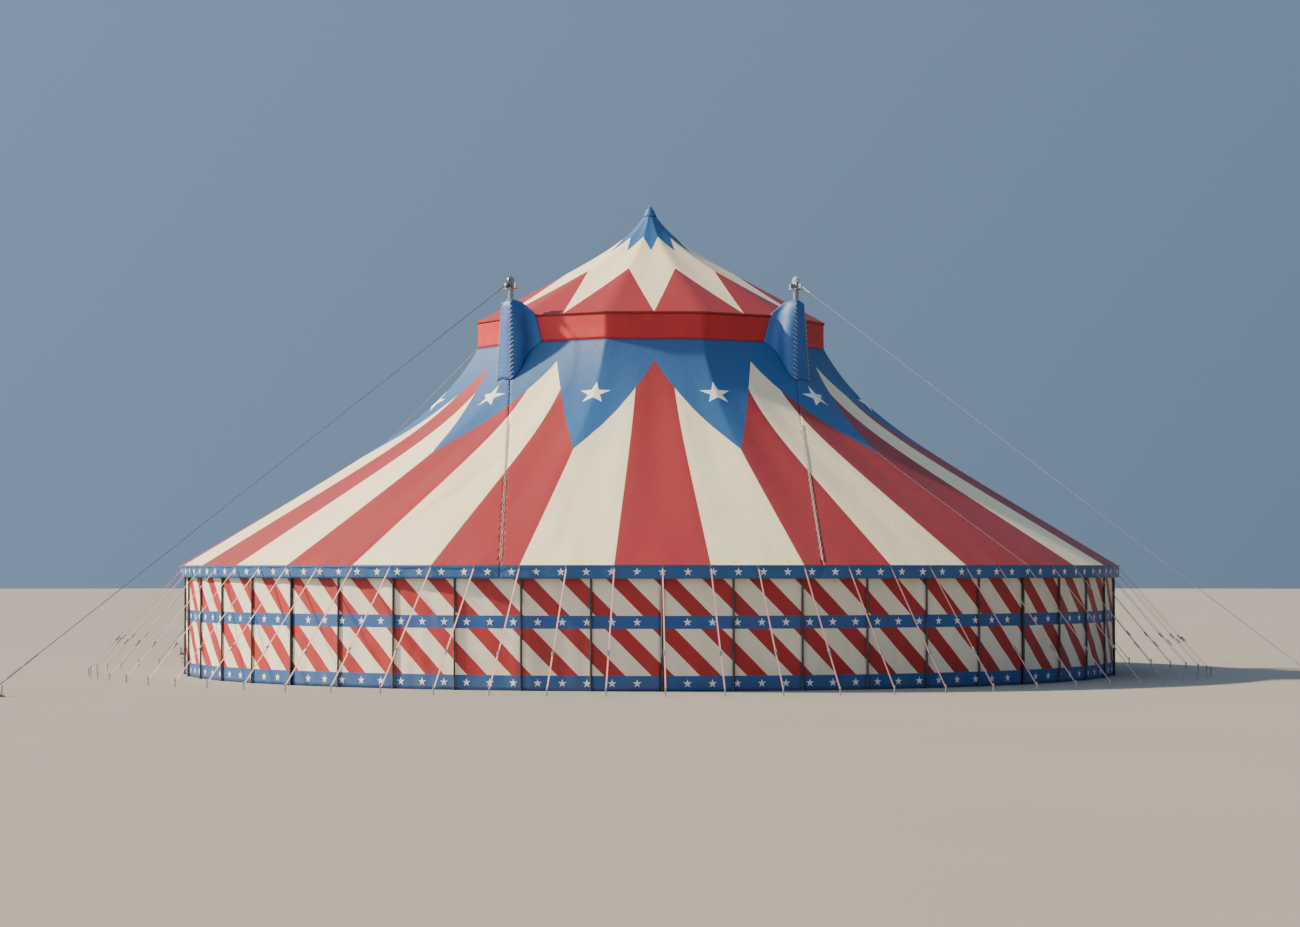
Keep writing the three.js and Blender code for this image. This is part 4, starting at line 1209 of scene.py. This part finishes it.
# Polyester webbing: matt, faded to a dull pink between its two red edges.
webbing, add, place, shader = material("striped_webbing", roughness=0.8, sheen_weight=0.3)
flat = add("ShaderNodeUVMap", uv_map="flat")
across = add("ShaderNodeSeparateXYZ", {0: flat})
edge = add("ShaderNodeMath", {0: across, 1: 0.5}, operation="PINGPONG")
is_edge = add("ShaderNodeMath", {0: edge, 1: 0.16}, operation="LESS_THAN")
colours = {0: is_edge, 6: linear("#DFB9AF"), 7: linear("#B5484A")}
woven = add("ShaderNodeMix", colours, data_type="RGBA").outputs[2]
grime = add("ShaderNodeTexNoise", {"Vector": place, "Scale": 4.0, "Detail": 4.0})
dull = add("ShaderNodeMapRange", {"Value": grime, "From Min": 0.4, "To Max": 0.22})
tint = add("ShaderNodeMix", {0: dull, 6: woven, 7: linear("#8D877A")}, data_type="RGBA")
# Picks 1.2 mm apart, drawn 8 mm apart so that they show near by.
picks = add("ShaderNodeTexWave", {"Vector": flat, "Scale": 40.0}, bands_direction="Y").outputs["Fac"]
weave = add("ShaderNodeBump", {"Height": picks, "Strength": 0.3, "Distance": 0.001})
feed(shader, {"Base Color": tint.outputs[2], "Normal": weave})


def lofted(rows):
    """A closed bar through rows of four corners; its two ends are its last faces."""
    bar = bmesh.new()
    rows = [[bar.verts.new(point) for point in row] for row in rows]
    for low, high in zip(rows, rows[1:]):
        for j in range(4):
            bar.faces.new((low[j], low[(j + 1) % 4], high[(j + 1) % 4], high[j]))
    for row in (rows[0], rows[-1]):
        bar.faces.new(row)
    return bar


def along_strap(share):
    (top_r, top_z), (foot_r, foot_z) = STRAP_TOP, STRAP_FOOT
    sag = STRAP_SAG * 4 * share * (1 - share)
    return Vector((0, -(top_r + (foot_r - top_r) * share), top_z + (foot_z - top_z) * share - sag))


# The strap in front, with its own map across and along it
line = [along_strap(share) for share in np.linspace(STRAP_START, 1, STRAP_POINTS)]
rows = []
for before, point, after in zip(line[:1] + line, line, line[1:] + line[-1:]):
    way = (after - before).normalized()
    side = way.cross(Vector((0, -1, 1))).normalized() * STRAP_HALF
    out = side.cross(way).normalized() * STRAP_THICK / 2
    rows.append([point - side - out, point + side - out, point + side + out, point - side + out])
strap = lofted(rows)
strap.verts.index_update()
layer = strap.loops.layers.uv.new("flat")
for face in list(strap.faces)[:-2]:
    for loop in face.loops:
        row, corner = divmod(loop.vert.index, 4)
        loop[layer].uv = (1 if corner in (1, 2) else 0, row * MAP_STEP)
strap_shape = ended(strap, "strap")

# The ratchet, laid along the strap: two side plates, the drum and the handle
start, end = along_strap(RATCHET_SHARE - 0.02), along_strap(RATCHET_SHARE + 0.02)
lie = (end - start).to_track_quat("X", "Z").to_matrix().to_4x4()
seat = Matrix.Translation((start + end) / 2) @ lie
ratchet = bmesh.new()
for v in (-STRAP_HALF - 0.008, STRAP_HALF + 0.004):
    plate(ratchet, (-0.1, v, -0.018), (0.09, v + 0.004, 0.028), 0.001, seat)
turned(ratchet, hoop(0, 0.014, -LINK_HALF, LINK_HALF), 10, seat @ across_mast)
plate(ratchet, (0.02, -0.03, 0.022), (0.16, 0.03, 0.03), 0.002, seat)

# A forged stake with a mushroomed head, and the ring that the strap's hook takes
stake_profile = [(0, 0), (0.022, 0), (0.02, 0.2), (0.02, STAKE_TOP - 0.04), (0.03, STAKE_TOP - 0.02)]
stake_profile += [(0.027, STAKE_TOP - 0.004), (0, STAKE_TOP)]
at_stake = Matrix.Translation((0, -STAKE_RADIAL, 0))
stake = turned(bmesh.new(), stake_profile, 12, at_stake)
turned(stake, hoop(0.019, 0.032, EYE_LOW, EYE_TOP), 16, at_stake)

# Triangular links at the eave
at_eave = Matrix.Translation((0, -STRAP_TOP[0], STRAP_TOP[1]))
link = bmesh.new()
plate(link, (-LINK_HALF, -0.012, -0.012), (LINK_HALF, -0.001, -0.002), 0.002, at_eave)
for u in (-LINK_HALF, LINK_HALF - LINK_WIRE):
    plate(link, (u, -LINK_WIRE, -0.012), (u + LINK_WIRE, 0, 0.045), 0.002, at_eave)
plate(link, (-LINK_HALF, -LINK_WIRE, 0.036), (LINK_HALF, 0, 0.045), 0.002, at_eave)

STRAP_PARTS = {
    "straps": (strap_shape, webbing, "webbing"),
    "ratchets": (ended(ratchet, "ratchet"), galvanised, "galvanised_steel"),
    "stakes": (ended(stake, "stake"), galvanised, "galvanised_steel"),
    "eave_links": (ended(link, "link"), galvanised, "galvanised_steel"),
}
for side, middle in SIDES.items():
    azimuths = [middle - 45 + k * STRAP_STEP for k in range(18)]
    places = [((0, 0, 0), math.radians(a)) for a in azimuths if a != ENTRANCE]
    for name, (shape, finish, slot) in STRAP_PARTS.items():
        fix(spread(f"{name}_{side}", shape, places, finish), slot, f"guy_straps_{side}")

    # The belt follows the eave's corners.
    rows = []
    for a in np.arange(middle - 47.5, middle + 42.6, STRAP_STEP / 2):
        radius = EAVE_RADIUS * (math.cos(math.radians(STRAP_STEP / 2)) if round(a * 2) % 10 == 5 else 1)
        section = hoop(radius + BELT_INSIDE, radius + BELT_OUTSIDE, BELT_FOOT, BELT_TOP)
        rows.append([towards(a) * reach + Vector((0, 0, height)) for reach, height in section])
    mesh = ended(lofted(rows))
    mesh.materials.append(canopy_blue)
    fix(show(f"eave_belt_{side}", mesh), "webbing", f"guy_straps_{side}")


# Main stays. Galvanised wire rope from an ear of each mast head to a plate held by five
# stakes, with a thimble and shackle at each end and a turnbuckle near the ground.
ANCHOR = 27.2
STAY_TOP = Vector((MAST_RADIAL + EAR_REACH - 0.03, 0, EYE_HEIGHT))
STAY_FOOT = Vector((ANCHOR, 0, 0.2))
STAY_RADIUS = 0.012
STAY_START, STAY_END = 0.004, 0.998
SPLICE_RADIUS = 0.024
UPPER_SPLICE, LOWER_SPLICE = 0.02, 0.925
BUCKLE, BUCKLE_END = 0.945, 0.985
BUCKLE_HALF = 0.032
BUCKLE_EYE = 0.006
BUCKLE_BAR, BUCKLE_SCREW = 0.014, 0.015
ANCHOR_NUT = 0.03
STAKE_PLACES = ((-0.22, -0.115), (0.13, -0.115), (-0.22, 0.115), (0.13, 0.115), (0.21, 0.0))
# Each run is between two (share of the way down, sideways).
near, far = BUCKLE + BUCKLE_EYE, BUCKLE_END - BUCKLE_EYE
sides = [((near, v), (far, v)) for v in (-BUCKLE_HALF, BUCKLE_HALF)]
ends = [((share, -BUCKLE_HALF), (share, BUCKLE_HALF)) for share in (near, far)]
upper, lower = ((STAY_START, 0), (UPPER_SPLICE, 0)), ((LOWER_SPLICE, 0), (BUCKLE, 0))
screws = [((BUCKLE - 0.004, 0), (BUCKLE + 0.014, 0)), ((BUCKLE_END - 0.014, 0), (STAY_END, 0))]
STAY_PARTS = {
    "stay_rope": ([((STAY_START, 0), (BUCKLE, 0))], STAY_RADIUS, steel_rope, 10, "steel_rope"),
    "stay_splices": ([upper, lower], SPLICE_RADIUS, galvanised, 12, "galvanised_steel"),
    "turnbuckle_body": (sides + ends, BUCKLE_BAR, galvanised, 10, "galvanised_steel"),
    "turnbuckle_screws": (screws, BUCKLE_SCREW, steel_rope, 10, "steel_rope"),
}
anchor_profile = [(0, 0), (0.018, 0), (0.018, 0.28), (0.03, 0.295), (0.027, 0.318), (0, 0.322)]


def on_stay(azimuth, share, side):
    """A point a share of the way down a stay, and to its side."""
    return at_corner(azimuth, STAY_TOP.lerp(STAY_FOOT, share) + Vector((0, side, 0)))


for corner, azimuth in CORNERS.items():
    stay = f"main_stay_{corner}"
    for name, (runs, radius, finish, count, slot) in STAY_PARTS.items():
        lines = [[on_stay(azimuth, *end) for end in run] for run in runs]
        fix(tubes(f"{name}_{corner}", lines, radius, finish, count), slot, stay)

    there = facing(azimuth, (ANCHOR, 0, 0))
    anchor = bmesh.new()
    plate(anchor, (-0.3, -0.15, 0.0), (0.25, 0.15, 0.03), 0.004, there)
    plate(anchor, (-0.12, -0.015, 0.028), (0.06, 0.015, 0.25), 0.006, there)
    for side in (-1, 1):
        middle = side * 0.07
        plate(anchor, (-0.2, middle - 0.006, 0.028), (0.2, middle + 0.006, 0.1), 0.003, there)
        pin = facing(azimuth, (ANCHOR - 0.005, 0, STAY_FOOT.z), across_mast)
        turned(anchor, hoop(0, ANCHOR_NUT, side * 0.015, side * 0.032), 6, pin)
    fix(dressed(f"anchor_plate_{corner}", ended(anchor), black_paint, 30), "painted_steel", stay)

    stakes = bmesh.new()
    for u, v in STAKE_PLACES:
        turned(stakes, anchor_profile, 12, facing(azimuth, (ANCHOR + u, v, 0)))
    fix(dressed(f"anchor_stakes_{corner}", ended(stakes), galvanised), "galvanised_steel", stay)
